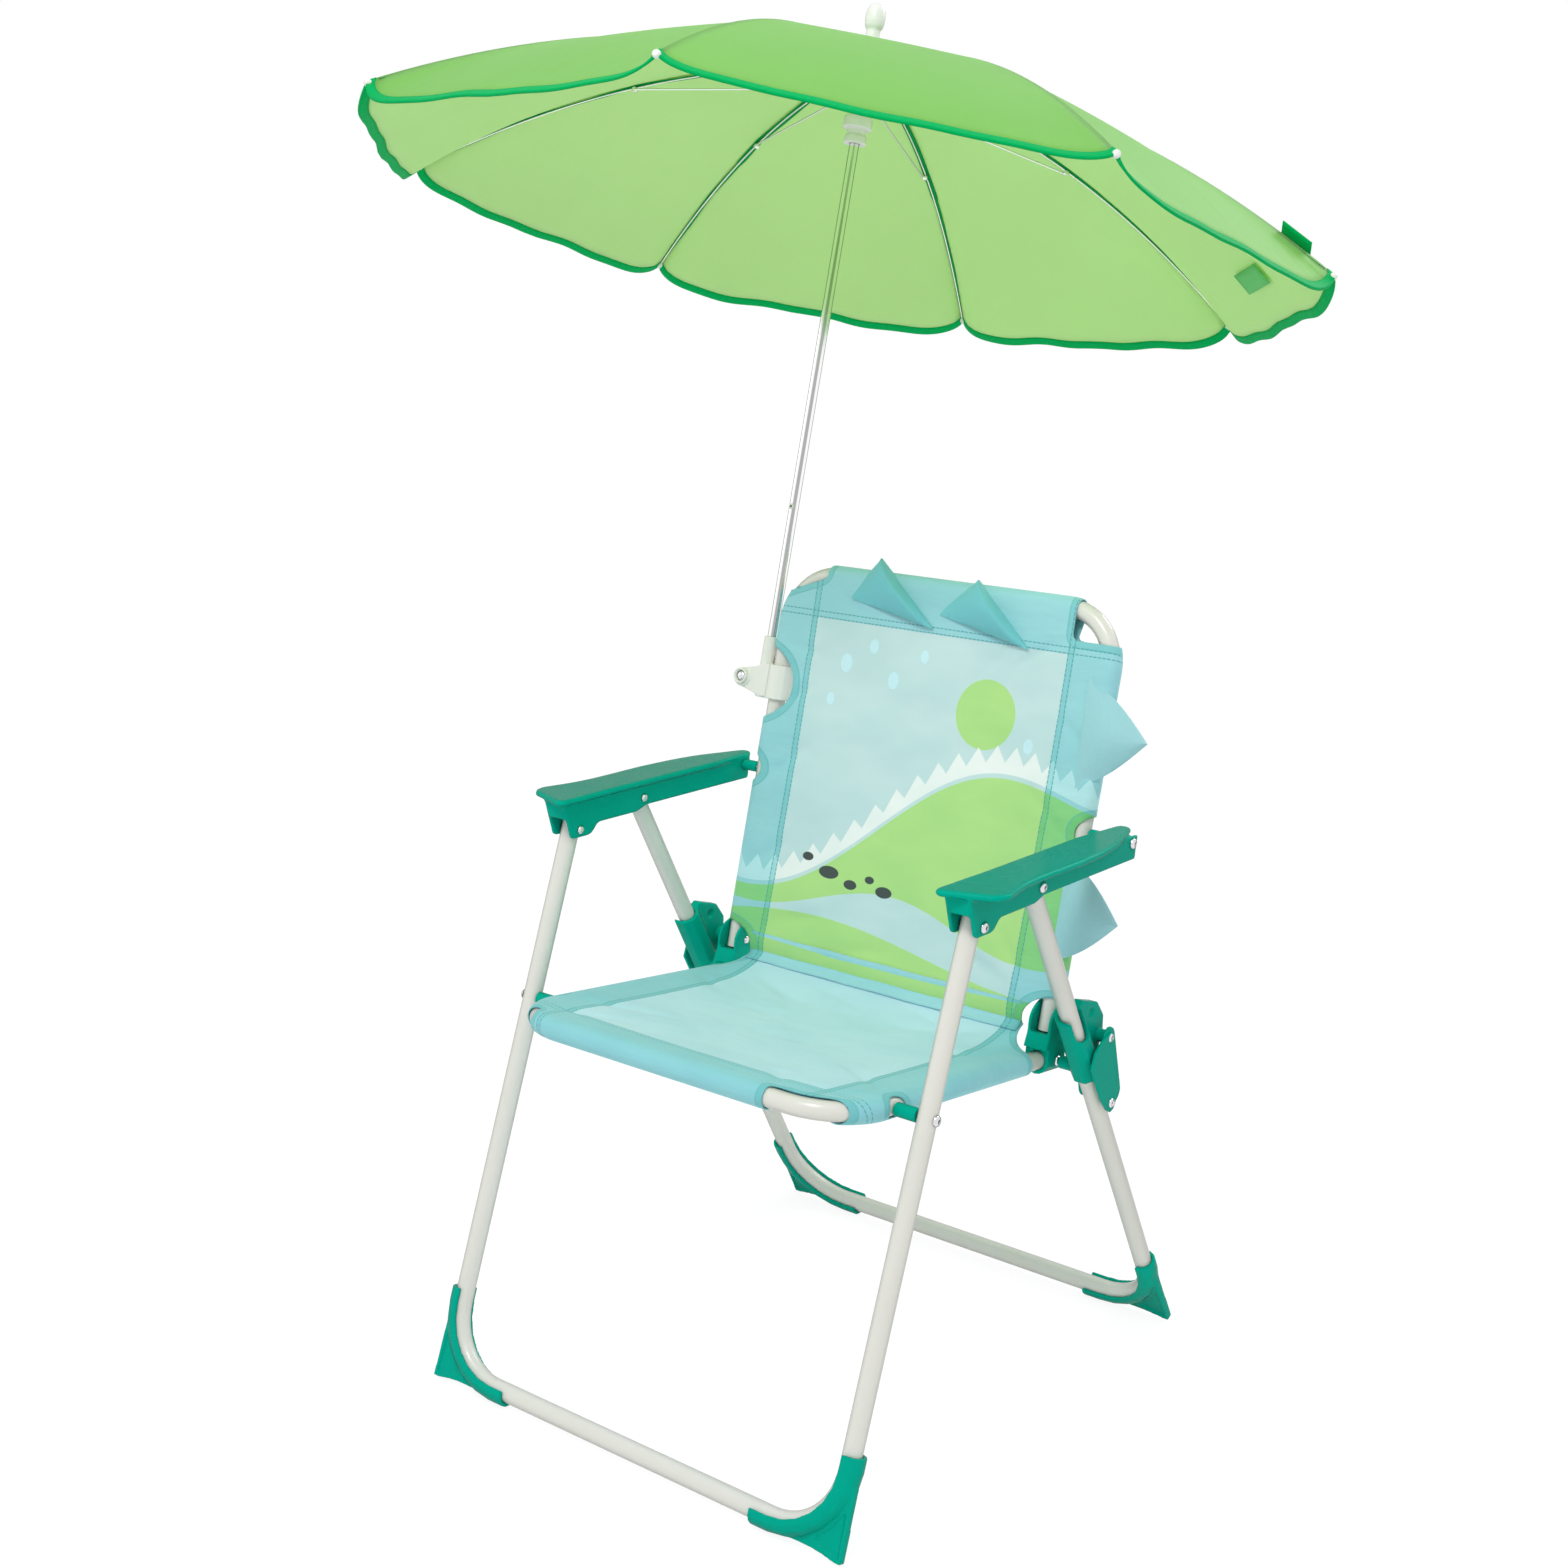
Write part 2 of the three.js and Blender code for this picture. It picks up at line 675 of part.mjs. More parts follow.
const collarInner = tubeRadius + turnGap;
const collarOuter = collarInner + collarWall;
const collarLow = collarPivotOnLeg.y - collarBelow;
const collarTop = collarLow + collarLength;
const linkTopZ = collarTop - linkTopBelow;
const linkPlateIn = collarOuter + linkGap;
const linkPlateOut = linkPlateIn + linkWall;
const linkLowY = tubeRadius + turnGap + boltRadius;
const linkDropY = linkTopReach - linkLowY;
const linkLowZ = linkTopZ - Math.sqrt(linkLength * linkLength - linkDropY * linkDropY);

function octagonZ(apothem, z0, z1) {
  const corner = apothem / Math.cos(Math.PI / 8);
  const prism = new THREE.CylinderGeometry(corner, corner, z1 - z0, 8);
  return prism.rotateY(Math.PI / 8).rotateX(Math.PI / 2).translate(0, 0, (z0 + z1) / 2);
}

// inward is the sign of x on the side that faces the seat.
function collar(inward) {
  const sleeve = octagonZ(collarOuter, collarLow, collarTop);
  const wall = collarInner + collarWall * 0.4;
  const earTop = new THREE.Shape([
    yz(wall, collarTop),
    yz(earTopReach, collarTop),
    yz(earReach * 0.93, collarTop - collarLength * 0.25),
    yz(earReach, collarTop - collarLength * 0.5),
    yz(linkTopReach + linkTopRadius * 0.5, linkTopZ - linkTopRadius * 0.6),
    yz(linkTopReach - linkTopRadius * 0.3, linkTopZ - linkTopRadius * 0.9),
    yz(wall, collarLow + collarWall),
  ]);
  const ear = sidePlate(earTop, -earThickness / 2, earThickness / 2);
  const boss = rodX(-collarOuter, collarOuter, linkTopReach, linkTopZ, earBossRadius, 12);
  const dimple = (sign) => new THREE.SphereGeometry(earThickness * 0.6, 8, 6)
    .translate(sign * earThickness * 0.8, (wall + earReach) * 0.5, collarTop - collarLength * 0.28);
  const stub = rodX(inward * (collarInner + seatGap), inward * (legHalfSpan - seatHalfSpan
    - tubeRadius - socketWall - headHeight - 3 * seatGap), collarPivotOnLeg.x, collarPivotOnLeg.y, collarBossRadius, 12);
  const notchZ = collarTop - collarNotchDepth + collarNotchRadius;
  const reach = collarOuter + cutOverrun;
  const notchRound = rodX(0, -inward * reach, 0, notchZ, collarNotchRadius, 14);
  const notchMouth = block(0, -inward * reach, -collarNotchRadius, collarNotchRadius, notchZ, collarTop + cutOverrun);
  const body = joined(sleeve, ear, boss, stub);
  return without(body, rodZ(collarLow - cutOverrun, collarTop + cutOverrun, 0, 0, collarInner, 16),
    notchRound, notchMouth, dimple(1), dimple(-1),
    rodX(-reach, reach, linkTopReach, linkTopZ, boltHoleRadius, 12));
}

function collarLink() {
  const shape = new THREE.Shape();
  const lean = Math.atan2(linkDropY, linkTopZ - linkLowZ);
  shape.absarc(linkTopReach, linkTopZ, linkTopRadius, -lean, Math.PI - lean, false);
  shape.absarc(linkLowY, linkLowZ, linkLowRadius, Math.PI - lean, fullTurn - lean, false);
  shape.closePath();
  const plates = [-1, 1].map((side) => sidePlate(shape, Math.min(side * linkPlateIn, side * linkPlateOut),
    Math.max(side * linkPlateIn, side * linkPlateOut), 6));
  const rearOf = (share) => linkLowY + linkDropY * share + linkLowRadius;
  const webLow = linkLowZ + linkLowRadius * 0.4;
  const webHigh = linkLowZ + (linkTopZ - linkLowZ) * 0.45;
  const web = sidePlate([
    yz(rearOf(0.05) - linkWall * 1.2, webLow),
    yz(rearOf(0.05) - linkWall * 0.1, webLow),
    yz(rearOf(0.45) - linkWall * 0.1, webHigh),
    yz(rearOf(0.45) - linkWall * 1.2, webHigh),
  ], -linkPlateIn - linkGap, linkPlateIn + linkGap);
  const pin = turnedX([
    [-linkPlateOut - tailHeight, 0],
    [-linkPlateOut - tailHeight, tailRadius * 0.6],
    [-linkPlateOut + seatGap, tailRadius],
    [-linkPlateOut + seatGap, boltRadius],
    [linkPlateOut - seatGap, boltRadius],
    [linkPlateOut - seatGap, tailRadius],
    [linkPlateOut + tailHeight, tailRadius * 0.6],
    [linkPlateOut + tailHeight, 0],
  ], 12).translate(0, linkLowY, linkLowZ);
  const reach = linkPlateOut + cutOverrun;
  const body = without(joined(...plates, web), rodX(-reach, reach, linkTopReach, linkTopZ, boltHoleRadius, 12));
  return joined(body, pin);
}

// Sling: sleeves of cloth round the tubes, joined by a panel that sags between them

const clothIn = tubeRadius + clothGap;
const clothOut = clothIn + clothThickness;

// A sheet of cloth over a grid in (u, v); place(u, v) gives a point and normal the way its thickness goes.
function clothSheet(columns, rows, place, normal) {
  const top = [];
  const bottom = [];
  for (let j = 0; j <= rows; j += 1) {
    for (let i = 0; i <= columns; i += 1) {
      const p = place(i / columns, j / rows);
      top.push(p);
      bottom.push(p.clone().addScaledVector(normal, -clothThickness));
    }
  }
  const across = columns + 1;
  const under = top.length;
  const order = [];
  for (let j = 0; j < rows; j += 1) {
    for (let i = 0; i < columns; i += 1) {
      const a = j * across + i;
      const [b, c, d] = [a + 1, a + 1 + across, a + across];
      order.push(a, b, c, a, c, d);
      order.push(under + a, under + c, under + b, under + a, under + d, under + c);
    }
  }
  const edge = [];
  for (let i = 0; i < columns; i += 1) edge.push(i);
  for (let j = 0; j < rows; j += 1) edge.push(j * across + columns);
  for (let i = columns; i > 0; i -= 1) edge.push(rows * across + i);
  for (let j = rows; j > 0; j -= 1) edge.push(j * across);
  edge.forEach((a, k) => {
    const b = edge[(k + 1) % edge.length];
    order.push(a, under + a, under + b, a, under + b, b);
  });
  const geometry = new THREE.BufferGeometry().setFromPoints([...top, ...bottom]);
  geometry.setIndex(order);
  return outward(geometry);
}

function seatTubeCorners() {
  return [
    vec(-seatHalfSpan, seatTubeLength, 0),
    vec(-seatHalfSpan, -seatFrontReach, 0),
    vec(seatHalfSpan, -seatFrontReach, 0),
    vec(seatHalfSpan, seatTubeLength, 0),
  ];
}

function seatSling() {
  const panelEnd = backHingeOnSeat.x - seatSeamGap;
  const low = -seatFrontReach;
  const curveStart = panelEnd - seatRearCurve;
  const panel = clothSheet(8, 9, (u, v) => {
    const x = (u * 2 - 1) * seatHalfSpan;
    const y = low + (panelEnd - low) * v;
    const across = 1 - (u * 2 - 1) ** 2;
    const ends = Math.sin(Math.PI * Math.min(1, Math.max(0, v)));
    const rise = y > curveStart ? seatRearRise * ((y - curveStart) / seatRearCurve) ** 2 : 0;
    return vec(x, y, clothOut - seatSag * across * ends + rise);
  }, vec(0, 0, 1));
  const corners = [-1, 1].flatMap((side) => [
    rodZ(-clothOut * 2, clothOut * 2, side * (seatHalfSpan + clothOut), -seatFrontReach - clothOut, cornerCut, 20),
    block(side * (seatHalfSpan - rearCornerCut), side * (seatHalfSpan + clothOut * 2), seatHemEnd + clothGap,
      panelEnd + cutOverrun, -clothOut * 2, clothOut * 6),
  ]);
  const sleeves = [-1, 1].flatMap((side) => [
    rodY(-seatHemFront, -pivotNotch, side * seatHalfSpan, 0, clothOut, 14),
    rodY(pivotNotch, seatHemEnd, side * seatHalfSpan, 0, clothOut, 14),
  ]);
  const frontSleeve = rodX(-frontHemHalf, frontHemHalf, -seatFrontReach, 0, clothOut, 14);
  const bore = bentRod(seatTubeCorners(), seatBendRadius, clothIn);
  const notches = [-1, 1].map((side) => rodZ(-clothOut * 2, clothOut * 2, side * (seatHalfSpan + tubeRadius), 0, pivotNotch, 16));
  const sleeved = joined(without(panel, ...corners), ...sleeves, frontSleeve);
  return without(sleeved, bore, ...notches);
}

// A flat triangle of stiffened cloth in the back's plane.
function clothFin(points) {
  const shape = new THREE.Shape(points);
  const fin = new THREE.ExtrudeGeometry(shape, { depth: finThickness, bevelEnabled: false });
  return fin.rotateX(Math.PI / 2).translate(0, finThickness / 2, 0);
}

function backSling() {
  const top = backHeight;
  const panel = clothSheet(8, 10, (u, v) => {
    const x = (u * 2 - 1) * seatHalfSpan;
    const z = backSeamRise + (top - backSeamRise) * v;
    const across = 1 - (u * 2 - 1) ** 2;
    return vec(x, -clothOut + seatSag * across * Math.sin(Math.PI * v), z);
  }, vec(0, -1, 0));
  const cornerAt = seatHalfSpan + clothOut;
  const cutDeep = clothOut * 3;
  const cuts = [-1, 1].flatMap((side) => [
    rodY(-cutDeep, cutDeep, side * cornerAt, top + clothOut, cornerCut, 20),
    rodY(-cutDeep, cutDeep, side * (cornerAt + backHemLow * 0.1), 0, backHemLow, 20),
  ]);
  const sleeves = [-1, 1].map((side) => rodZ(backHemLow * 0.6, backHemHigh, side * seatHalfSpan, 0, clothOut, 14));
  const topSleeve = rodX(-topHemHalf, topHemHalf, 0, top, clothOut, 14);
  const bore = bentRod([
    vec(-seatHalfSpan, 0, 0),
    vec(-seatHalfSpan, 0, top),
    vec(seatHalfSpan, 0, top),
    vec(seatHalfSpan, 0, 0),
  ], backBendRadius, clothIn);
  const armNotches = [-1, 1].map((side) => rodY(-cutDeep, cutDeep, side * (seatHalfSpan + tubeRadius * 0.6),
    armRearOnBack, armNotch, 16));
  const clampMid = (clampNotchLow + clampNotchHigh) / 2;
  const clampNotch = new THREE.CylinderGeometry(1, 1, cutDeep * 2, 20)
    .scale(clampNotchDepth + tubeRadius, 1, (clampNotchHigh - clampNotchLow) / 2)
    .translate(-seatHalfSpan - tubeRadius, 0, clampMid);
  const topFins = [0, 1].map((index) => clothFin([
    yz(topFinX + index * topFinPitch - topFinBase * 0.2, top + (clothIn + clothOut) / 2),
    yz(topFinX + index * topFinPitch + topFinBase * 0.8, top + (clothIn + clothOut) / 2),
    yz(topFinX + index * topFinPitch, top + clothOut + topFinRise),
  ]));
  const sleeved = joined(panel, ...sleeves, topSleeve, ...topFins);
  return without(sleeved, ...cuts, bore, ...armNotches, clampNotch);
}

// Parasol clamp, in the back frame with x = 0 on the tube axis, the wing toward -x and z = 0 at its middle

function clampBody() {
  const inner = tubeRadius + seatGap;
  const outer = inner + clampWall;
  const half = clampTall / 2;
  const ring = rodZ(-half, half, 0, 0, outer, 14);
  const wing = new THREE.Shape();
  wing.moveTo(0, -half);
  wing.lineTo(-screwOffset * 0.55, -half * 0.86);
  wing.lineTo(-screwOffset, -screwBossRadius);
  wing.absarc(-screwOffset, 0, screwBossRadius, -Math.PI / 2, Math.PI / 2, true);
  wing.lineTo(-poleOffset - socketOuterRadius, half * 0.75);
  wing.lineTo(-poleOffset, half);
  wing.lineTo(0, half);
  wing.closePath();
  const plate = new THREE.ExtrudeGeometry(wing, { depth: wingThickness, bevelEnabled: false, curveSegments: 5 })
    .rotateX(Math.PI / 2).translate(0, wingThickness / 2, 0);
  const poleSocket = rodZ(-half, socketTall, -poleOffset, 0, socketOuterRadius, 14);
  const boss = rodY(-wingThickness / 2 - dishDepth, wingThickness / 2 + dishDepth, -screwOffset, 0, screwBossRadius, 14);
  const body = joined(ring, plate, poleSocket, boss);
  const face = wingThickness / 2 + dishDepth;
  const dish = rodY(-face - cutOverrun, -face + dishDepth, -screwOffset, 0, dishRadius, 14);
  const nutPocket = rodY(face - nutHeight - seatGap, face + cutOverrun, -screwOffset, 0, nutRadius + seatGap * 1.3, 6);
  const poleBoreFoot = poleFoot - clampHeight - seatGap;
  const slits = [
    block(-poleOffset, -screwOffset - screwBossRadius - cutOverrun, -clampSlit / 2, clampSlit / 2,
      -half - cutOverrun, socketTall + cutOverrun),
    block(0, -poleOffset, -clampSlit / 2, clampSlit / 2, -half - cutOverrun, half + cutOverrun),
  ];
  return without(body, rodZ(-half - cutOverrun, half + cutOverrun, 0, 0, inner, 14),
    rodZ(poleBoreFoot, socketTall + cutOverrun, -poleOffset, 0, poleRadius + seatGap, 16),
    rodY(-face - cutOverrun, face + cutOverrun, -screwOffset, 0, boltHoleRadius, 12), dish, nutPocket, ...slits);
}

function clampScrew() {
  const face = wingThickness / 2 + dishDepth;
  const headSeat = -face + dishDepth - seatGap;
  const end = face - nutHeight * 0.2;
  return turnedZ([
    [-end, 0],
    [-end, boltRadius],
    [-headSeat, boltRadius],
    [-headSeat, headRadius],
    [-headSeat + headHeight * 0.6, headRadius * 0.85],
    [-headSeat + headHeight, headRadius * 0.4],
    [-headSeat + headHeight, 0],
  ], 14).rotateX(Math.PI / 2);
}

function clampNut() {
  const face = wingThickness / 2 + dishDepth;
  const nut = rodY(face - nutHeight, face, 0, 0, nutRadius, 6);
  return without(nut, rodY(0, face + cutOverrun, 0, 0, boltHoleRadius, 12));
}

// Parasol, in the back frame with x = 0 on the pole axis and z measured from the back hinge

function pole() {
  const inner = poleRadius - poleWall;
  const tube = turnedZ([[poleFoot, inner], [poleFoot, poleRadius], [poleTop, poleRadius], [poleTop, inner],
    [poleFoot, inner]], 16);
  return without(tube, rodY(-cutOverrun, 0, 0, catchHeight, catchHoleRadius, 10));
}

function slots(z0, z1, innerRadius, outerRadius, offset) {
  return Array.from({ length: ribCountShares }, (_, index) => {
    const slot = block(innerRadius, outerRadius, offset - slotWidth / 2, offset + slotWidth / 2, z0, z1);
    return slot.rotateZ(ribAngle(index));
  });
}

const ribCountShares = 8;
const firstRibDegrees = -117.3;
const ribAngle = (index) => THREE.MathUtils.degToRad(firstRibDegrees) + (fullTurn * index) / ribCountShares;

function runner() {
  const bore = poleRadius + turnGap;
  const ringTop = runnerPivotHeight + notchRingTall / 2;
  const ringLow = runnerPivotHeight - notchRingTall / 2;
  const flangeTop = runnerFlangeHeight + runnerFlangeTall;
  const body = turnedZ([
    [runnerFoot, bore],
    [runnerFoot, runnerFootRadius],
    [runnerFoot + runnerFootTall, runnerFootRadius * 0.96],
    [runnerFoot + runnerFootTall * 1.2, runnerBodyRadius],
    [runnerFlangeHeight - seatGap, runnerBodyRadius],
    [runnerFlangeHeight, runnerFlangeRadius],
    [flangeTop, runnerFlangeRadius * 0.97],
    [flangeTop + seatGap, runnerBodyRadius],
    [ringLow - seatGap, runnerBodyRadius],
    [ringLow, notchRingRadius],
    [ringTop, notchRingRadius],
    [ringTop, bore],
    [runnerFoot, bore],
  ], 20);
  const slotFloor = ribPivotRadius - eyeRadius - turnGap;
  return without(body, ...slots(ringLow - seatGap * 2, ringTop + cutOverrun, slotFloor, notchRingRadius + cutOverrun,
    stretcherOffset));
}

function hub() {
  const bore = poleRadius + seatGap;
  const top = ribPivotHeight + notchRingTall / 2;
  const low = ribPivotHeight - notchRingTall / 2;
  const neck = ribPivotRadius - eyeRadius - turnGap;
  const body = turnedZ([
    [low - notchRingTall * 0.5, bore],
    [low - notchRingTall * 0.5, neck],
    [low, neck],
    [low, notchRingRadius],
    [top, notchRingRadius],
    [top, bore],
    [low - notchRingTall * 0.5, bore],
  ], 20);
  return without(body, ...slots(low - cutOverrun, top - eyeRadius * 0.4, neck, notchRingRadius + cutOverrun, 0));
}

function poleCap() {
  const inner = poleRadius + seatGap;
  const mid = capBase + (capTop - capBase) * 0.5;
  return turnedZ([
    [capBase, inner],
    [capBase, capFlare],
    [capBase + capFlare * 0.3, capFlare * 0.9],
    [capBase + capFlare, capNeck * 1.1],
    [mid, capNeck],
    [mid + capKnob * 0.3, capKnob * 0.92],
    [mid + capKnob * 0.9, capKnob],
    [capTop - capKnob * 0.5, capKnob * 0.93],
    [capTop - capKnob * 0.12, capKnob * 0.55],
    [capTop, 0],
    [poleTop + seatGap, 0],
    [poleTop + seatGap, inner],
    [capBase, inner],
  ], 18);
}

// Height of the canopy over the ribs at a distance from the pole.
const canopyHeight = (radius) => ribTipHeight + canopyRise * (1 - (radius / ribTipRadius) ** 2);

// Height of a rib's axis: just under the canopy outside, dropping to its pivot in the hub.
function ribHeight(radius) {
  const under = (r) => canopyHeight(r) - ribRadius - canopyClearance - canopyThickness;
  const share = Math.max(0, 1 - (radius - ribPivotRadius) / (ribPivotRadius * 8));
  return under(radius) + (ribPivotHeight - under(ribPivotRadius)) * share;
}

class RibPath extends THREE.Curve {
  getPoint(t) {
    const radius = ribPivotRadius + (ribTipRadius - ribPivotRadius) * t;
    return vec(radius, 0, ribHeight(radius));
  }
}

function rodAlong(path, radius, steps, sides) {
  const rings = [];
  for (let i = 0; i <= steps; i += 1) {
    const tangent = path.getTangent(i / steps);
    const up = vec(-tangent.z, 0, tangent.x);
    const centre = path.getPoint(i / steps);
    rings.push(Array.from({ length: sides }, (_, k) => {
      const a = (fullTurn * (k + 0.5)) / sides;
      return centre.clone().addScaledVector(up, radius * Math.sin(a)).add(vec(0, radius * Math.cos(a), 0));
    }));
  }
  const outline = Array.from({ length: sides }, (_, k) => {
    const a = (fullTurn * (k + 0.5)) / sides;
    return yz(Math.cos(a), Math.sin(a));
  });
  return loft(rings, outline);
}

function rib() {
  const rod = rodAlong(new RibPath(), ribRadius, 8, 5);
  const eye = rodY(-eyeThickness / 2, eyeThickness / 2, ribPivotRadius, ribPivotHeight, eyeRadius, 8);
  const ball = new THREE.SphereGeometry(ribTipBall, 5, 4)
    .translate(ribTipRadius + ribTipBall * 0.6, 0, ribHeight(ribTipRadius) - ribTipBall * 0.4);
  const lugHeight = ribHeight(stretcherReach) - ribRadius * 1.4;
  const lug = rodY(-eyeThickness / 2, stretcherOffset - eyeThickness / 2 - seatGap, stretcherReach, lugHeight, eyeRadius, 8);
  return joined(rod, eye, ball, lug);
}

function stretcher() {
  const outerZ = ribHeight(stretcherReach) - ribRadius * 1.4;
  const from = vec(ribPivotRadius, stretcherOffset, runnerPivotHeight);
  const to = vec(stretcherReach, stretcherOffset, outerZ);
  const length = from.distanceTo(to);
  const tilt = Math.atan2(to.z - from.z, to.x - from.x);
  const rod = new THREE.CylinderGeometry(stretcherRadius, stretcherRadius, length, 5)
    .rotateZ(Math.PI / 2).rotateY(-tilt)
    .translate((from.x + to.x) / 2, stretcherOffset, (from.z + to.z) / 2);
  const inEye = rodY(stretcherOffset - eyeThickness / 2, stretcherOffset + eyeThickness / 2, from.x, from.z, eyeRadius, 8);
  const outEye = rodY(stretcherOffset - eyeThickness / 2, stretcherOffset + eyeThickness / 2, to.x, to.z, eyeRadius, 8);
  return joined(rod, inEye, outEye);
}

// One panel spans two ribs: straight across between them, and hanging a little at the hem.
function canopy() {
  const panelShares = [0, 0.12, 0.31, 0.5, 0.69, 0.88];
  const perPanel = panelShares.length;
  const ringShares = [0, 0.17, 0.34, 0.51, 0.68, 0.84, 1];
  const around = perPanel * ribCountShares;
  const half = Math.PI / ribCountShares;
  const upper = [];
  const lower = [];
  const reach = ribTipRadius + ribTipBall * 0.2;
  ringShares.forEach((share) => {
    const radius = canopyHoleRadius + (reach - canopyHoleRadius) * share;
    for (let i = 0; i < around; i += 1) {
      const within = panelShares[i % perPanel];
      const off = Math.abs(within - 0.5) * 2;
      const chord = Math.cos(half) / Math.cos(half * off);
      const flat = share * share;
      const swell = share ** 4 * (1 - off ** 3) ** 0.6;
      const r = radius * (1 - flat * (1 - chord)) + hemBow * swell;
      const droop = hemDroop * swell;
      const a = ribAngle(Math.floor(i / perPanel) + within);
      const z = canopyHeight(radius) - droop;
      upper.push(vec(r * Math.cos(a), r * Math.sin(a), z));
      lower.push(vec(r * Math.cos(a), r * Math.sin(a), z - canopyThickness));
    }
  });
  const rows = ringShares.length;
  const under = upper.length;
  const order = [];
  const quad = (a, b, c, d) => order.push(a, b, c, a, c, d);
  for (let j = 0; j + 1 < rows; j += 1) {
    for (let i = 0; i < around; i += 1) {
      const next = (i + 1) % around;
      const [a, b] = [j * around + i, j * around + next];
      const [d, c] = [(j + 1) * around + i, (j + 1) * around + next];
      quad(a, d, c, b);
      quad(under + a, under + b, under + c, under + d);
    }
  }
  for (let i = 0; i < around; i += 1) {
    const next = (i + 1) % around;
    const last = (rows - 1) * around;
    quad(i, next, under + next, under + i);
    quad(last + i, under + last + i, under + last + next, last + next);
  }
  const geometry = new THREE.BufferGeometry().setFromPoints([...upper, ...lower]);
  geometry.setIndex(order);
  return outward(geometry);
}

// The assembly

function named(name, geometry, finish) {
  const shown = outward(geometry);
  shown.computeVertexNormals();
  const mesh = new THREE.Mesh(shown, new THREE.MeshStandardMaterial(finish));
  mesh.name = name;
  return mesh;
}

const chair = new THREE.Group();
const sides = [["left", -1], ["right", 1]];

function member(origin, turn) {
  const group = new THREE.Group();
  group.position.set(0, origin.x, origin.y);
  group.rotation.x = turn;
  chair.add(group);
  return group;
}

function drilled(tube, halfSpan, places) {
  const reach = halfSpan + tubeRadius + cutOverrun;
  return without(tube, ...places.map(([y, z]) => rodX(-reach, reach, y, z, boltHoleRadius, 12)));
}

// Both ends of a piece that repeats on the left and right; x is its distance from the middle.
function pair(group, name, geometry, finish, x = 0) {
  for (const [label, side] of sides) {
    const shape = side > 0 ? geometry : mirrored(geometry);
    const mesh = named(`${name}_${label}`, shape, finish);
    mesh.position.x = side * x;
    group.add(mesh);
  }
}

const frontLegs = member(armFront, frontLean);
const seatPivotOnLeg = -armFront.distanceTo(seatPivot);
const frontLegTube = uTube(legHalfSpan, frontLegTop, -frontLegLength, footBendRadius);
frontLegs.add(named("front_leg_frame", drilled(frontLegTube, legHalfSpan, [[0, 0], [0, seatPivotOnLeg]]), creamTube));
const frontFoot = foot(1, frontLean, footBendRadius).translate(legHalfSpan, 0, -frontLegLength);
pair(frontLegs, "front_foot", frontFoot, greenPlastic);

const rearLegs = member(armMid, rearLean);
const rearLegTube = uTube(legHalfSpan, rearLegTop, -rearLegLength, footBendRadius);
rearLegs.add(named("rear_leg_frame", drilled(rearLegTube, legHalfSpan, [[0, 0]]), creamTube));
const rearFoot = foot(1, rearLean, footBendRadius).translate(legHalfSpan, 0, -rearLegLength);
pair(rearLegs, "rear_foot", rearFoot, greenPlastic);
pair(rearLegs, "leg_collar", collar(-1), greenPlastic, legHalfSpan);
pair(rearLegs, "collar_link", collarLink(), greenPlastic, legHalfSpan);
const linkRivet = bolt(-linkPlateOut - seatGap, linkPlateOut + seatGap).translate(0, linkTopReach, linkTopZ);
pair(rearLegs, "link_rivet", linkRivet, steel, legHalfSpan);

const arms = member(armFront, 0);
pair(arms, "armrest", armrest(), greenPlastic, legHalfSpan);
const armBolt = bolt(-armOuter - seatGap, armOuter + seatGap);
pair(arms, "arm_front_rivet", armBolt.clone(), steel, legHalfSpan);
pair(arms, "arm_mid_rivet", armBolt.clone().translate(0, armMidY - armFrontY, armMidZ - armFrontZ), steel, legHalfSpan);
const spacerIn = seatHalfSpan + tubeRadius + turnGap;
const spacerOut = legHalfSpan - armOuter - seatGap;
const rearDrop = armRearZ - armFrontZ;
pair(arms, "back_spacer", bush(spacerIn, spacerOut, backSpacerRadius, boltHoleRadius)
  .translate(0, armLength, rearDrop), greenPlastic);
const rearBoltStart = spacerIn + tailHeight + seatGap;
const rearBolt = turnedX([
  [rearBoltStart, 0],
  [rearBoltStart, boltRadius],
  [legHalfSpan + armOuter + seatGap, boltRadius],
  [legHalfSpan + armOuter + seatGap, headRadius],
  [legHalfSpan + armOuter + seatGap + headHeight * 0.6, headRadius * 0.9],
  [legHalfSpan + armOuter + seatGap + headHeight, headRadius * 0.55],
  [legHalfSpan + armOuter + seatGap + headHeight, 0],
], fastenerSideShares).translate(0, armLength, rearDrop);
pair(arms, "arm_rear_bolt", rearBolt, steel);

const seat = member(seatPivot, seatTilt);
const seatTube = bentTube(seatTubeCorners(), seatBendRadius);
seat.add(named("seat_frame", drilled(seatTube, seatHalfSpan, [[0, 0], [collarPivotOnSeat, 0]]), creamTube));
seat.add(named("seat_sling", seatSling(), aquaCloth));
pair(seat, "seat_connector", seatConnector(), greenPlastic, seatHalfSpan);
const connectorOuter = tubeRadius + seatGap + socketWall + seatGap;
pair(seat, "collar_bolt", bolt(-connectorOuter, connectorOuter).translate(0, collarPivotOnSeat, 0), steel, seatHalfSpan);
const cheekOuter = tubeRadius + turnGap + cheekWall + seatGap;
pair(seat, "back_hinge_rivet", bolt(-cheekOuter, cheekOuter).translate(0, backHingeOnSeat.x, backHingeOnSeat.y),
  steel, seatHalfSpan);
const seatSpacer = bush(seatHalfSpan + tubeRadius + seatGap, legHalfSpan - tubeRadius - seatGap,
  seatSpacerRadius, boltHoleRadius);
pair(seat, "seat_spacer", seatSpacer, greenPlastic);
const seatBolt = bolt(seatHalfSpan - tubeRadius - seatGap, legHalfSpan + tubeRadius + seatGap);
pair(seat, "seat_bolt", seatBolt, steel);

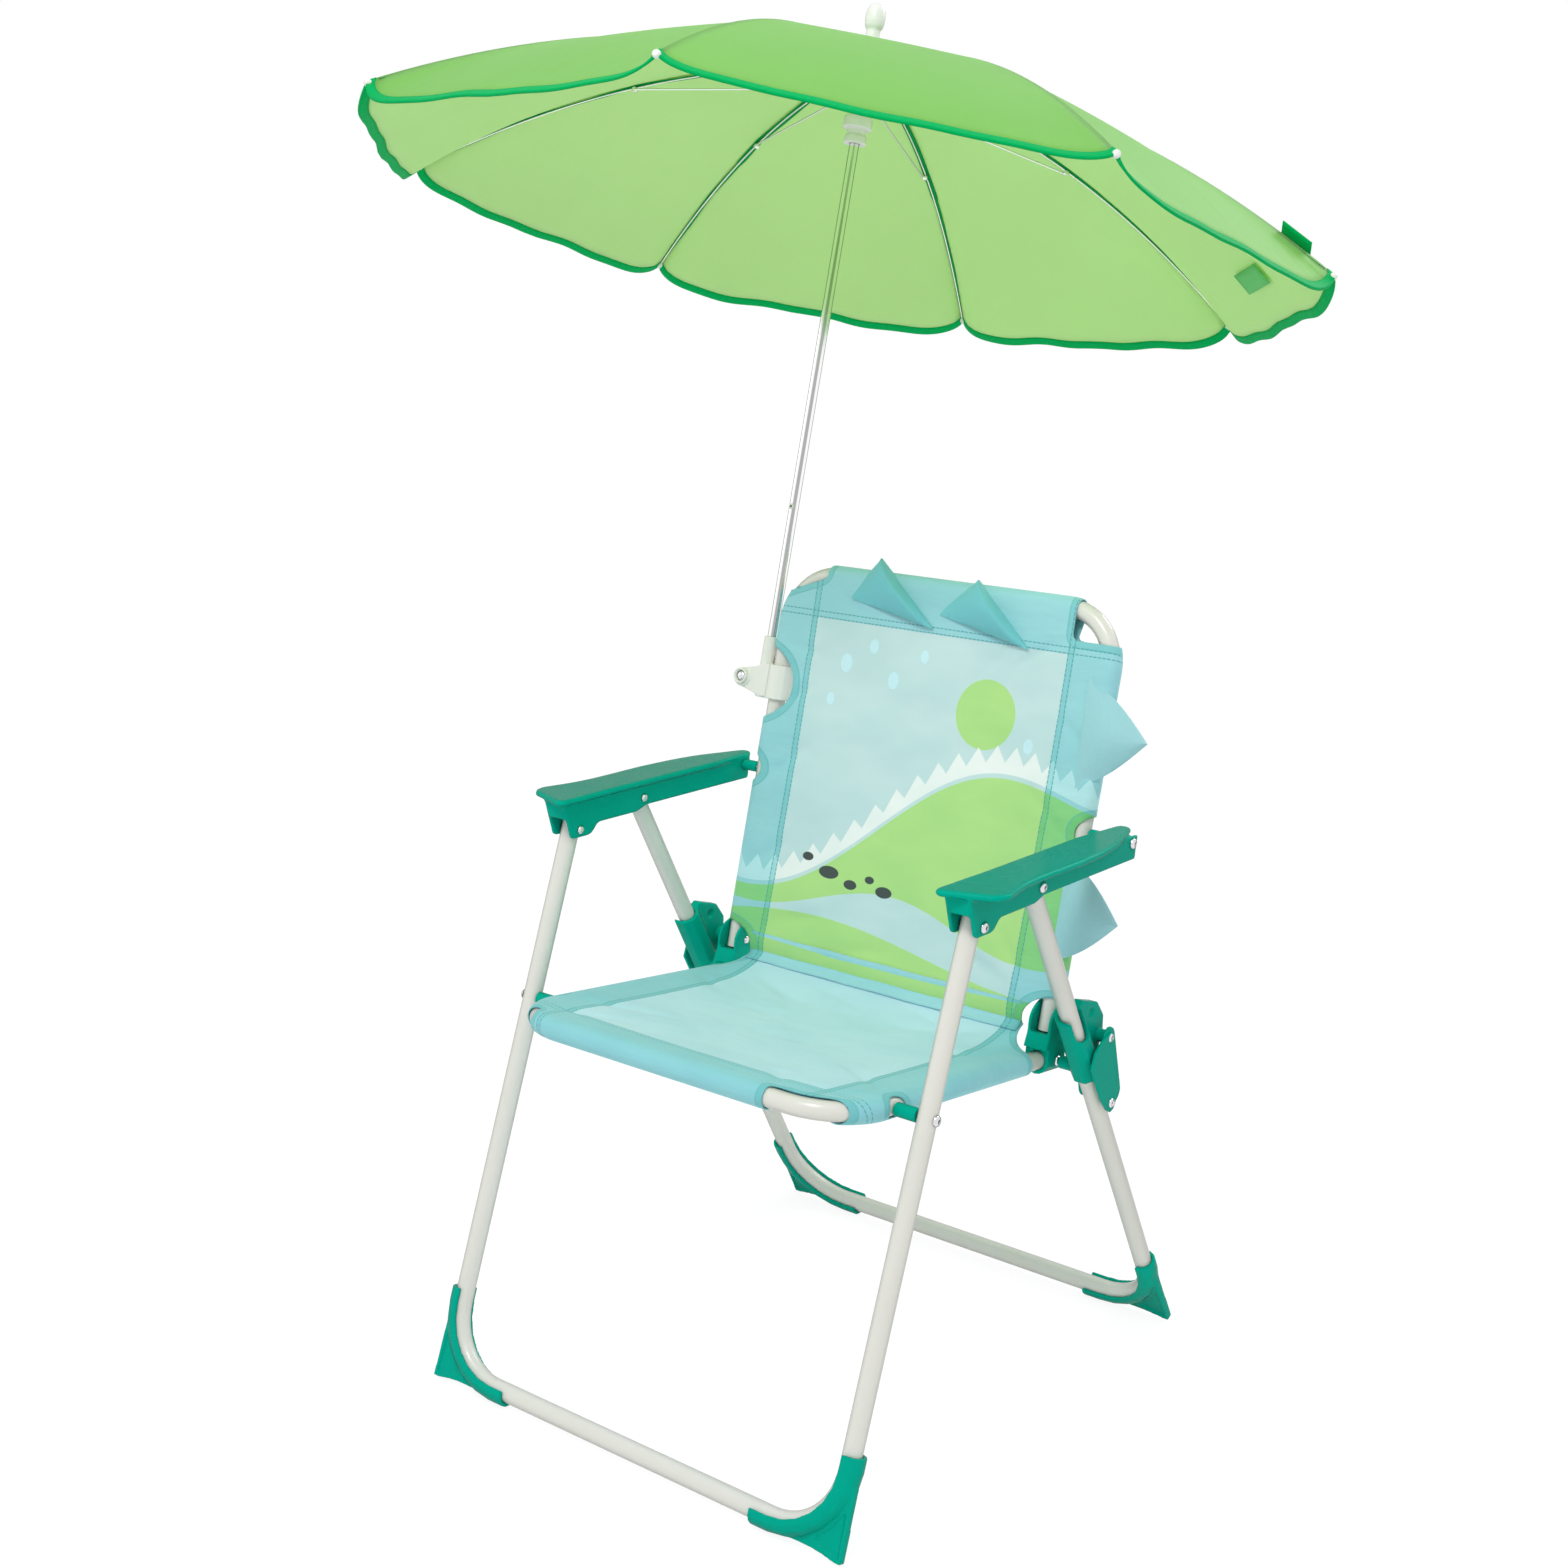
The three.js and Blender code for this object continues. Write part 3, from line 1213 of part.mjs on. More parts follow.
const back = member(backHinge, backLean);
const backTube = uTube(seatHalfSpan, -backTubeTail, backHeight, backBendRadius);
back.add(named("back_frame", drilled(backTube, seatHalfSpan, [[0, 0]]), creamTube));
back.add(named("back_sling", backSling(), aquaCloth));

const clamp = new THREE.Group();
clamp.position.set(-seatHalfSpan, 0, clampHeight);
back.add(clamp);
clamp.add(named("clamp_body", clampBody(), creamPlastic));
const screw = named("clamp_screw", clampScrew(), steel);
screw.position.x = -screwOffset;
clamp.add(screw);
const nut = named("clamp_nut", clampNut(), steel);
nut.position.x = -screwOffset;
clamp.add(nut);

const parasol = new THREE.Group();
parasol.position.x = -seatHalfSpan - poleOffset;
back.add(parasol);
parasol.add(named("parasol_pole", pole(), steel));
parasol.add(named("parasol_runner", runner(), creamPlastic));
parasol.add(named("parasol_hub", hub(), creamPlastic));
parasol.add(named("parasol_cap", poleCap(), creamPlastic));
parasol.add(named("parasol_canopy", canopy(), limeCloth));
for (let index = 0; index < ribCountShares; index += 1) {
  const ribMesh = named(`rib_${index + 1}`, rib(), steel);
  const stretcherMesh = named(`stretcher_${index + 1}`, stretcher(), steel);
  for (const mesh of [ribMesh, stretcherMesh]) {
    mesh.rotation.z = ribAngle(index);
    parasol.add(mesh);
  }
}

// The origin is the middle of the box that the object stands in, on the floor.
chair.updateMatrixWorld(true);
const bounds = new THREE.Box3().setFromObject(chair, true);
const centre = bounds.getCenter(vec(0, 0, 0));
chair.position.set(-centre.x, -centre.y, -bounds.min.z);
chair.updateMatrixWorld(true);

export default chair;
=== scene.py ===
# %% [markdown]
# # A folding child's chair with a parasol
# The chair is five bent steel tubes, a cloth sling and a few moulded joints. A packed CAD model holds
# every piece at its real size and place. This lesson dresses it: finer tubes, rounded mouldings, sewn
# cloth, and a canopy in eight gores. All numbers are millimetres until a matrix turns them into metres.

# %% Load the frame
import json
import math

import bpy
import bmesh
import numpy as np
from mathutils import Matrix, Vector


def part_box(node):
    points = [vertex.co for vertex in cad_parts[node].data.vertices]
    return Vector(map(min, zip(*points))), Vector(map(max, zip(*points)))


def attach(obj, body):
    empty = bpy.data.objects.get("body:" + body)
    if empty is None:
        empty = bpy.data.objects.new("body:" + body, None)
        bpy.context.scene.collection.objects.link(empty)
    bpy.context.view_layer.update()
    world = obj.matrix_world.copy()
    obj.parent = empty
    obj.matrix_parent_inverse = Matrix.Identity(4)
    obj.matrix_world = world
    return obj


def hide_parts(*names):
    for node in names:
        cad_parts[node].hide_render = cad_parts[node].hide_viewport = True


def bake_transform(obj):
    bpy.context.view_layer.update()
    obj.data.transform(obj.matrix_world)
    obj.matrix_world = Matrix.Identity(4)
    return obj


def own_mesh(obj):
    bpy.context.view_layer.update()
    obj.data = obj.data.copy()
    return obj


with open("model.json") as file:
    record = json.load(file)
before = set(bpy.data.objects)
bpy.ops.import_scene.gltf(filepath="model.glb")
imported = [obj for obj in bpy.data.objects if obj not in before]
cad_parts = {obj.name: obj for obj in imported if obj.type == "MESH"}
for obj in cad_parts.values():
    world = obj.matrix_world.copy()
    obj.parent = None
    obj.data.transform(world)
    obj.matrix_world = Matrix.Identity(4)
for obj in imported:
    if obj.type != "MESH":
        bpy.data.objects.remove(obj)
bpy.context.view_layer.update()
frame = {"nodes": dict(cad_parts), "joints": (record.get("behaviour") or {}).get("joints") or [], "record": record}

joints = {joint["name"]: joint for joint in frame["joints"]}

# %% [markdown]
# ## Where things are
# A tube frame is easiest to describe lying in its own plane, with its hinge at the origin. The hinges
# are known from the frame, so each member gets a matrix from its own millimetres to the chair's metres.
# Reading the hinges, rather than copying numbers, keeps the dressing on the frame if it shifts.

# %% Member matrices
def hinge(name):
    """The (y, z) of a hinge, in millimetres."""
    point = joints[name]["pos_m"]
    return Vector((point[1] * 1000, point[2] * 1000))


MIDDLE_X = joints["fold"]["pos_m"][0] * 1000
ARM_FRONT, ARM_MID = hinge("fold"), hinge("rear_leg_fold")
SEAT_PIVOT, BACK_HINGE = hinge("seat_fold"), hinge("back_fold")
ARM_FRONT_Y, FRONT_BAR_Y, REAR_BAR_Y = -84.5, -216, 221.5
FLOOR_BAR_H = 10
SHIFT_Y = ARM_FRONT.x - ARM_FRONT_Y
FRONT_BAR = Vector((SHIFT_Y + FRONT_BAR_Y, FLOOR_BAR_H))
REAR_BAR = Vector((SHIFT_Y + REAR_BAR_Y, FLOOR_BAR_H))
ARM_REAR = Vector((SHIFT_Y + 111, 421.8))
SEAT_TUBE_END = Vector((SHIFT_Y + 84, 256))


def member(origin, turn, x=0.0):
    """Matrix from a member's own millimetres to metres, turned about X at its hinge."""
    place = Matrix.Translation(Vector((MIDDLE_X, origin.x, origin.y)) / 1000)
    return place @ Matrix.Rotation(turn, 4, "X") @ Matrix.Scale(0.001, 4) @ Matrix.Translation((x, 0, 0))


def lean(low, high):
    """The turn about X that stands +Z along the line from low to high."""
    return -math.atan2(high.x - low.x, high.y - low.y)


FRONT = member(ARM_FRONT, lean(FRONT_BAR, ARM_FRONT))
REAR = member(ARM_MID, lean(REAR_BAR, ARM_MID))
SEAT = member(SEAT_PIVOT, math.atan2(SEAT_TUBE_END.y - SEAT_PIVOT.y, SEAT_TUBE_END.x - SEAT_PIVOT.x))
BACK = member(BACK_HINGE, lean(BACK_HINGE, ARM_REAR))
LEG_HALF, SEAT_HALF = 180.5, 148.5
TUBE_R, BORE_R = 7.0, 5.8
POLE_ASIDE = 15.2
FRONT_LEG = (ARM_FRONT - FRONT_BAR).length
REAR_LEG = (ARM_MID - REAR_BAR).length
SEAT_TUBE = (SEAT_TUBE_END - SEAT_PIVOT).length
POLE = member(BACK_HINGE, lean(BACK_HINGE, ARM_REAR), x=-SEAT_HALF - POLE_ASIDE)
print("front leg", round(FRONT_LEG), "mm, rear leg", round(REAR_LEG), "mm, seat tube", round(SEAT_TUBE), "mm")

# %% [markdown]
# ## The camera
# A photograph is matched by its viewpoint first. The camera stands in front of the chair's right side,
# a little above the arms and more than a metre away, with a slightly long lens. It could be aimed with a
# Track To constraint, but a written-out matrix keeps the small roll that a hand-held camera has.

# %% Camera
PHOTO_SIZE = 1568
SENSOR = 36
YAW, PITCH, ROLL = math.radians(37.56), math.radians(13.70), math.radians(1.53)
FOCAL_PIXELS, CENTRE_PIXELS = 2160.7, (790.3, 786.6)


def aim_camera(position, yaw, pitch, roll, focal, centre, size):
    backward = Vector((math.sin(yaw) * math.cos(pitch), -math.cos(yaw) * math.cos(pitch), math.sin(pitch)))
    right = (-backward).cross(Vector((0, 0, 1))).normalized()
    up = right.cross(-backward)
    side = math.cos(roll) * right + math.sin(roll) * up
    top = -math.sin(roll) * right + math.cos(roll) * up
    data = bpy.data.cameras.new("camera")
    camera = bpy.data.objects.new("camera", data)
    bpy.context.scene.collection.objects.link(camera)
    turn = Matrix((side, top, backward)).transposed().to_4x4()
    camera.matrix_world = Matrix.Translation(position) @ turn
    data.sensor_width = SENSOR
    data.lens = focal / size * SENSOR
    data.shift_x = (size / 2 - centre[0]) / size
    data.shift_y = (centre[1] - size / 2) / size
    data.clip_start = 0.05
    bpy.context.scene.camera = camera
    return camera


eye = Vector((MIDDLE_X + 913.4, SHIFT_Y - 1236.0, 825.1)) / 1000
camera = aim_camera(eye, YAW, PITCH, ROLL, FOCAL_PIXELS, CENTRE_PIXELS, PHOTO_SIZE)
print("camera at", [round(v, 3) for v in eye], "lens", round(camera.data.lens, 1))

# %% [markdown]
# ## Light and floor
# The chair stands in a white studio. A soft lamp above and in front shapes the tubes, a weak one fills the
# far side, one behind draws their edges, and a pale world lifts the rest. World and floor are plain white
# to the camera, and to the rays that metal sends out. The floor still takes a soft shadow, so the feet look
# planted.

# %% Studio
def backdrop_rays(tree):
    """1 for the rays that should see the plain white backdrop: the camera's, and those of metal and glass."""
    rays = tree.nodes.new("ShaderNodeLightPath")
    total = rays.outputs["Is Camera Ray"]
    for label in ("Is Glossy Ray", "Is Transmission Ray"):
        either = tree.nodes.new("ShaderNodeMath")
        either.operation = "MAXIMUM"
        tree.links.new(total, either.inputs[0])
        tree.links.new(rays.outputs[label], either.inputs[1])
        total = either.outputs[0]
    return total


scene = bpy.context.scene
scene.view_settings.view_transform = "Standard"
world = bpy.data.worlds.new("studio")
scene.world = world
world.use_nodes = True
tree = world.node_tree
tree.nodes.clear()
sky_out = tree.nodes.new("ShaderNodeOutputWorld")
soft = tree.nodes.new("ShaderNodeBackground")
soft.inputs["Color"].default_value = (0.97, 0.985, 1.0, 1)
soft.inputs["Strength"].default_value = 0.74
seen = tree.nodes.new("ShaderNodeBackground")
seen.inputs["Strength"].default_value = 1.0
seen.inputs["Color"].default_value = (1, 1, 1, 1)
choose = tree.nodes.new("ShaderNodeMixShader")
tree.links.new(backdrop_rays(tree), choose.inputs["Fac"])
tree.links.new(soft.outputs[0], choose.inputs[1])
tree.links.new(seen.outputs[0], choose.inputs[2])
tree.links.new(choose.outputs[0], sky_out.inputs["Surface"])
print("world:", world.name, "with", len(tree.nodes), "nodes")


# %% Lamps
def lamp(name, place, target, size, power):
    data = bpy.data.lights.new(name, "AREA")
    data.shape = "DISK"
    data.size = size
    data.energy = power
    obj = bpy.data.objects.new(name, data)
    scene.collection.objects.link(obj)
    obj.location = place
    obj.rotation_euler = (Vector(target) - Vector(place)).to_track_quat("-Z", "Y").to_euler()


lamp("key_lamp", (0.5, -1.5, 2.5), (0.1, 0, 0.5), 0.7, 25)
lamp("fill_lamp", (-1.9, -1.2, 1.3), (0.1, 0, 0.4), 1.6, 3)
lamp("rim_lamp", (0.6, 1.9, 1.9), (0.1, 0, 0.6), 1.0, 20)
print("lamps:", [round(light.energy) for light in bpy.data.lights], "W")

# %% Floor
floor_mesh = bpy.data.meshes.new("floor")
reach = 6.0
floor_corners = [(-reach, -reach, 0), (reach, -reach, 0), (reach, reach, 0), (-reach, reach, 0)]
floor_mesh.from_pydata(floor_corners, [], [(0, 1, 2, 3)])
floor = bpy.data.objects.new("floor", floor_mesh)
scene.collection.objects.link(floor)
floor.location.z = -0.0005
paper = bpy.data.materials.new("white_paper")
paper.use_nodes = True
nodes, links = paper.node_tree.nodes, paper.node_tree.links
nodes.clear()
paper_out = nodes.new("ShaderNodeOutputMaterial")
matt = nodes.new("ShaderNodeBsdfDiffuse")
matt.inputs["Color"].default_value = (0.90, 0.90, 0.90, 1)
glow = nodes.new("ShaderNodeEmission")
glow.inputs["Color"].default_value = (1, 1, 1, 1)
glow.inputs["Strength"].default_value = 1.06
share = nodes.new("ShaderNodeMath")
share.operation = "MULTIPLY"
share.inputs[1].default_value = 0.86
blend_floor = nodes.new("ShaderNodeMixShader")
links.new(backdrop_rays(paper.node_tree), share.inputs[0])
links.new(share.outputs[0], blend_floor.inputs["Fac"])
links.new(matt.outputs[0], blend_floor.inputs[1])
links.new(glow.outputs[0], blend_floor.inputs[2])
links.new(blend_floor.outputs[0], paper_out.inputs["Surface"])
floor_mesh.materials.append(paper)
print("floor", 2 * reach, "m square")

# %% [markdown]
# ## Effects that several finishes share
# Plain-woven polyester, the faint orange peel of powder coat and the fine spark texture of moulded
# plastic all appear on more than one material. Each is built once as a node group. A group could hold a
# whole shader, but giving out only colours, masks and heights lets each material keep its own gloss.

# %% Group helpers
def new_group(name, inputs, outputs):
    group = bpy.data.node_groups.new(name, "ShaderNodeTree")
    for label, kind, value in inputs:
        socket = group.interface.new_socket(label, in_out="INPUT", socket_type=kind)
        if value is not None:
            socket.default_value = value
    for label, kind in outputs:
        group.interface.new_socket(label, in_out="OUTPUT", socket_type=kind)
    return group, group.nodes.new("NodeGroupInput"), group.nodes.new("NodeGroupOutput")


print("a group gets its inputs and outputs by name, kind and value")


# %% Short ways to add nodes
class Graph:
    """Short ways to add nodes to a tree."""

    def __init__(self, tree):
        self.tree = tree

    def link(self, value, socket):
        if isinstance(value, bpy.types.NodeSocket):
            self.tree.links.new(value, socket)
        else:
            socket.default_value = value

    def math(self, operation, a, b=0.0, c=None):
        node = self.tree.nodes.new("ShaderNodeMath")
        node.operation = operation
        self.link(a, node.inputs[0])
        self.link(b, node.inputs[1])
        if c is not None:
            self.link(c, node.inputs[2])
        return node.outputs[0]

    def plus(self, a, b):
        return self.math("ADD", a, b)

    def minus(self, a, b):
        return self.math("SUBTRACT", a, b)

    def times(self, a, b):
        return self.math("MULTIPLY", a, b)

    def most(self, a, b):
        return self.math("MAXIMUM", a, b)

    def rise(self, value, low, high):
        """0 below low, 1 above high, smooth between."""
        node = self.tree.nodes.new("ShaderNodeMapRange")
        node.interpolation_type = "SMOOTHSTEP"
        self.link(value, node.inputs["Value"])
        node.inputs["From Min"].default_value = low
        node.inputs["From Max"].default_value = high
        return node.outputs["Result"]

    def fall(self, value, low, high):
        """1 below low, 0 above high, smooth between."""
        return self.minus(1.0, self.rise(value, low, high))

    def mix(self, share, a, b, kind="MIX"):
        node = self.tree.nodes.new("ShaderNodeMix")
        node.data_type = "RGBA"
        node.blend_type = kind
        self.link(share, node.inputs["Factor"])
        self.link(a, node.inputs["A"])
        self.link(b, node.inputs["B"])
        return node.outputs["Result"]

    def tinted(self, colour, tint, share=1.0):
        return self.mix(share, colour, (*tint, 1), "MULTIPLY")

    def vector(self, x, y):
        node = self.tree.nodes.new("ShaderNodeCombineXYZ")
        self.link(x, node.inputs[0])
        self.link(y, node.inputs[1])
        return node.outputs[0]

    def noise(self, vector, scale, detail=2.0):
        node = self.tree.nodes.new("ShaderNodeTexNoise")
        self.link(vector, node.inputs["Vector"])
        self.link(scale, node.inputs["Scale"])
        node.inputs["Detail"].default_value = detail
        return node.outputs["Fac"]

    def facing(self):
        """0 where the surface faces the eye, 1 at its outline."""
        node = self.tree.nodes.new("ShaderNodeLayerWeight")
        node.inputs["Blend"].default_value = 0.5
        return node.outputs["Facing"]

    def place(self):
        return self.tree.nodes.new("ShaderNodeTexCoord").outputs["Object"]

    def uv(self):
        node = self.tree.nodes.new("ShaderNodeUVMap")
        node.uv_map = "plan"
        split = self.tree.nodes.new("ShaderNodeSeparateXYZ")
        self.tree.links.new(node.outputs[0], split.inputs[0])
        return split.outputs[0], split.outputs[1]


print("helpers:", [name for name in vars(Graph) if not name.startswith("_")])

# %% Plain weave
weave, weave_in, weave_out = new_group(
    "plain_weave",
    [("Across", "NodeSocketFloat", None), ("Along", "NodeSocketFloat", None),
     ("Pitch", "NodeSocketFloat", 0.0011)],
    [("Height", "NodeSocketFloat"), ("Shade", "NodeSocketFloat")])
g = Graph(weave)
across, along = weave_in.outputs["Across"], weave_in.outputs["Along"]
turns_a = g.math("DIVIDE", across, weave_in.outputs["Pitch"])
turns_b = g.math("DIVIDE", along, weave_in.outputs["Pitch"])
warp = g.math("ABSOLUTE", g.math("SINE", g.times(turns_a, math.pi)))
weft = g.math("ABSOLUTE", g.math("SINE", g.times(turns_b, math.pi)))
over = g.math("PINGPONG", g.plus(g.math("FLOOR", turns_a), g.math("FLOOR", turns_b)), 1.0)
top_thread = g.plus(g.times(warp, over), g.times(weft, g.minus(1.0, over)))
slub = g.noise(g.vector(across, along), 260.0, 3.0)
g.link(top_thread, weave_out.inputs["Height"])
g.link(g.plus(g.times(top_thread, 0.5), g.times(slub, 0.5)), weave_out.inputs["Shade"])
print("weave nodes:", len(weave.nodes))

# %% Orange peel and spark texture
def speckle_group(name, scale, detail, patch_scale, patch_detail):
    """A fine height, and a slow variation of the surface."""
    group, group_in, group_out = new_group(
        name, [("Scale", "NodeSocketFloat", scale)],
        [("Height", "NodeSocketFloat"), ("Patches", "NodeSocketFloat")])
    graph = Graph(group)
    spot = graph.place()
    graph.link(graph.noise(spot, group_in.outputs["Scale"], detail), group_out.inputs["Height"])
    graph.link(graph.noise(spot, patch_scale, patch_detail), group_out.inputs["Patches"])
    return group


peel = speckle_group("orange_peel", 900.0, 1.5, 22.0, 3.0)
spark = speckle_group("spark_texture", 1600.0, 2.0, 35.0, 2.0)
print("groups:", [group.name for group in bpy.data.node_groups])

# %% [markdown]
# ## Material helpers
# Each finish starts from the Principled BSDF. What is the same everywhere is set on its sockets. What
# changes over the surface comes from a group: darker and lighter patches, gloss that varies a little,
# and a height for bump. Textures could be painted, but procedures hold up at any distance.

# %% Material helper
def new_material(name, base, roughness, **constants):
    made = bpy.data.materials.new(name)
    made.use_nodes = True
    shader = made.node_tree.nodes["Principled BSDF"]
    shader.inputs["Base Color"].default_value = (*base, 1)
    shader.inputs["Roughness"].default_value = roughness
    for label, value in constants.items():
        shader.inputs[label.replace("_", " ")].default_value = value
    return made, shader, Graph(made.node_tree)


def add_group(graph, group, **values):
    node = graph.tree.nodes.new("ShaderNodeGroup")
    node.node_tree = group
    for label, value in values.items():
        graph.link(value, node.inputs[label])
    return node


def add_bump(graph, shader, height, distance, strength=1.0):
    node = graph.tree.nodes.new("ShaderNodeBump")
    node.inputs["Distance"].default_value = distance
    node.inputs["Strength"].default_value = strength
    graph.link(height, node.inputs["Height"])
    graph.tree.links.new(node.outputs[0], shader.inputs["Normal"])


def edge_shade(graph, colour, low, high, amount):
    """Darkens a colour where the surface turns away from the eye, as black flags beside a lamp do."""
    share = graph.times(graph.rise(graph.facing(), low, high), amount)
    return graph.mix(share, colour, (0.0, 0.0, 0.0, 1))


def shade_range(graph, share, base, dark, light):
    """The base colour between two shades of it, as share says."""
    low = (*[c * dark for c in base], 1)
    high = (*[min(1.0, c * light) for c in base], 1)
    return graph.mix(share, low, high)


print("bump, edge shade and shade range are ready")

# %% [markdown]
# ## Powder coat and mouldings
# The tubes are sprayed with cream powder, which melts to a thin, slightly dimpled skin with a soft coat of
# its own. The mouldings are plain glossy plastic with a fine spark texture from the mould. One recipe for
# each, with its own colour and gloss, keeps the chair's finishes alike where the real ones are.

# %% Powder coat and mouldings
CREAM = (0.71, 0.70, 0.64)
GREEN = (0.0, 0.375, 0.265)


def coated_steel(name, base):
    made, shader, graph = new_material(name, base, 0.34, Coat_Roughness=0.12, Coat_Weight=0.25,
                                       Specular_IOR_Level=0.45)
    effect = add_group(graph, peel, Scale=850.0)
    patches = effect.outputs["Patches"]
    colour = shade_range(graph, patches, base, 0.97, 1.03)
    graph.link(edge_shade(graph, colour, 0.25, 0.95, 0.5), shader.inputs["Base Color"])
    graph.link(graph.math("MULTIPLY_ADD", patches, 0.16, 0.26), shader.inputs["Roughness"])
    add_bump(graph, shader, effect.outputs["Height"], 0.00006, 0.5)
    return made


def moulded_plastic(name, base, gloss, shine=0.4, grain=0.00005, dim=0.2):
    made, shader, graph = new_material(name, base, gloss, Specular_IOR_Level=shine)
    effect = add_group(graph, spark, Scale=1500.0)
    patches = effect.outputs["Patches"]
    colour = shade_range(graph, patches, base, 0.95, 1.04)
    graph.link(edge_shade(graph, colour, 0.3, 1.0, dim), shader.inputs["Base Color"])
    graph.link(graph.math("MULTIPLY_ADD", patches, 0.18, gloss - 0.09), shader.inputs["Roughness"])
    add_bump(graph, shader, effect.outputs["Height"], grain, 0.55)
    return made


cream_steel = coated_steel("cream_powder_coat", CREAM)
green_plastic = moulded_plastic("green_moulding", GREEN, 0.27, 0.025, 0.00002, 0.5)
cream_plastic = moulded_plastic("cream_moulding", (0.80, 0.80, 0.745), 0.40)
white_plastic = moulded_plastic("white_moulding", (0.84, 0.84, 0.80), 0.38)
print("coats and mouldings:", [m.name for m in bpy.data.materials])

# %% [markdown]
# ## Plated steel
# A thin plated rod in a white studio shows a bright face, with a grey line down its middle and grey
# flanks where it mirrors the dark room behind the camera. A small room of cards could be built round the
# chair for that. Here that reflection is painted: Layer Weight darkens the metal's colour by its slope,
# which holds from every side.

# %% Plating
# The near-black of a painted reflection of a dark room on plated metal.
PAINTED_DARK_REFLECTION = (0.07, 0.08, 0.07, 1)


def plated_steel(name, base, gloss, core=0.0, flank=0.8):
    made, shader, graph = new_material(name, base, gloss, Metallic=1.0)
    patches = add_group(graph, peel, Scale=420.0).outputs["Patches"]
    # Painted reflection: a dark line down the middle and dark flanks, mixed into the colour by slope.
    facing = graph.facing()
    middle = graph.times(graph.fall(facing, 0.03, 0.10), core)
    rim = graph.times(graph.rise(facing, 0.42, 0.60), flank)
    bright = shade_range(graph, patches, base, 0.95, 1.05)
    graph.link(graph.mix(graph.most(middle, rim), bright, PAINTED_DARK_REFLECTION), shader.inputs["Base Color"])
    graph.link(graph.math("MULTIPLY_ADD", patches, 0.14, gloss - 0.05), shader.inputs["Roughness"])
    return made


zinc = plated_steel("zinc_plating", (0.74, 0.75, 0.76), 0.22)
chrome = plated_steel("polished_pole", (1.0, 1.0, 0.99), 0.13, 0.6)
wire_steel = plated_steel("bright_wire", (0.92, 0.93, 0.92), 0.28, 0.0, 0.35)
# Painted shade: a near-black finish for the fasteners' dimples and the catch's hole, where real hollows lie in
# shade.
bore_painted_shade, _, _ = new_material("painted_bore_shade", (0.05, 0.05, 0.05), 0.7)
print("rigid materials:", len(bpy.data.materials))

# %% [markdown]
# ## Building meshes from rings
# A bent tube is a circle swept along straight runs and arcs. Blender's curve bevel could do it, but
# rings written by hand give even quads, a real wall at the open ends, and a UV that follows the tube.

# %% Make a mesh
def make(name, points, faces, matrix, uvs=None, material=None, sharp=38):
    mesh = bpy.data.meshes.new(name)
    mesh.from_pydata([matrix @ Vector(p) for p in points], [], faces)
    if uvs is not None:
        layer = mesh.uv_layers.new(name="plan")
        order = np.empty(len(mesh.loops), np.int64)
        mesh.loops.foreach_get("vertex_index", order)
        layer.data.foreach_set("uv", np.asarray(uvs, np.float32)[order].ravel())
    mesh.polygons.foreach_set("use_smooth", [True] * len(mesh.polygons))
    mesh.set_sharp_from_angle(angle=math.radians(sharp))
    mesh.update()
    obj = bpy.data.objects.new(name, mesh)
    scene.collection.objects.link(obj)
    if material is not None:
        mesh.materials.append(material)
    return obj


print("a mesh takes points in millimetres and a matrix to metres")


# %% Sweep a tube
def bent_path(corners, radius, steps=12):
    """Points along straight runs joined by round bends."""
    corners = [Vector(c) for c in corners]
    line = [corners[0]]
    for before, here, after in zip(corners, corners[1:], corners[2:]):
        into, away = (here - before).normalized(), (after - here).normalized()
        bend = into.angle(away)
        inward = (away - into * math.cos(bend)).normalized()
        start = here - into * radius * math.tan(bend / 2)
        for k in range(steps + 1):
            a = bend * k / steps
            line.append(start + into * radius * math.sin(a) + inward * radius * (1 - math.cos(a)))
    line.append(corners[-1])
    return line


def sweep(line, rings):
    """Rings of (side, up) offsets carried along a line without twisting."""
    tangents = []
    for i in range(len(line)):
        a, b = line[max(0, i - 1)], line[min(len(line) - 1, i + 1)]
        tangents.append((b - a).normalized())
    side = tangents[0].orthogonal().normalized()
    points = []
    for i, here in enumerate(line):
        side = (side - tangents[i] * side.dot(tangents[i])).normalized()
        up = tangents[i].cross(side)
        points += [here + side * u + up * v for u, v in rings]
    return points


def circle(radius, sides):
    turns = [math.tau * k / sides for k in range(sides)]
    return [(radius * math.cos(turn), radius * math.sin(turn)) for turn in turns]


print("points on a right-angle bend:", len(bent_path([(0, 0, 0), (0, 0, 9), (0, 9, 9)], 3)))


# %% Faces between rings
def wound_faces(rows, sides):
    """Quads between rings of points, each ring closed on itself."""
    faces = []
    for r in range(rows - 1):
        for k in range(sides):
            n = (k + 1) % sides
            faces.append((r * sides + k, r * sides + n, (r + 1) * sides + n, (r + 1) * sides + k))
    return faces


def grid_faces(rows, columns):
    """Quads of a grid with rows and columns of cells."""
    across = columns + 1
    return [(j * across + i, j * across + i + 1, (j + 1) * across + i + 1, (j + 1) * across + i)
            for j in range(rows) for i in range(columns)]


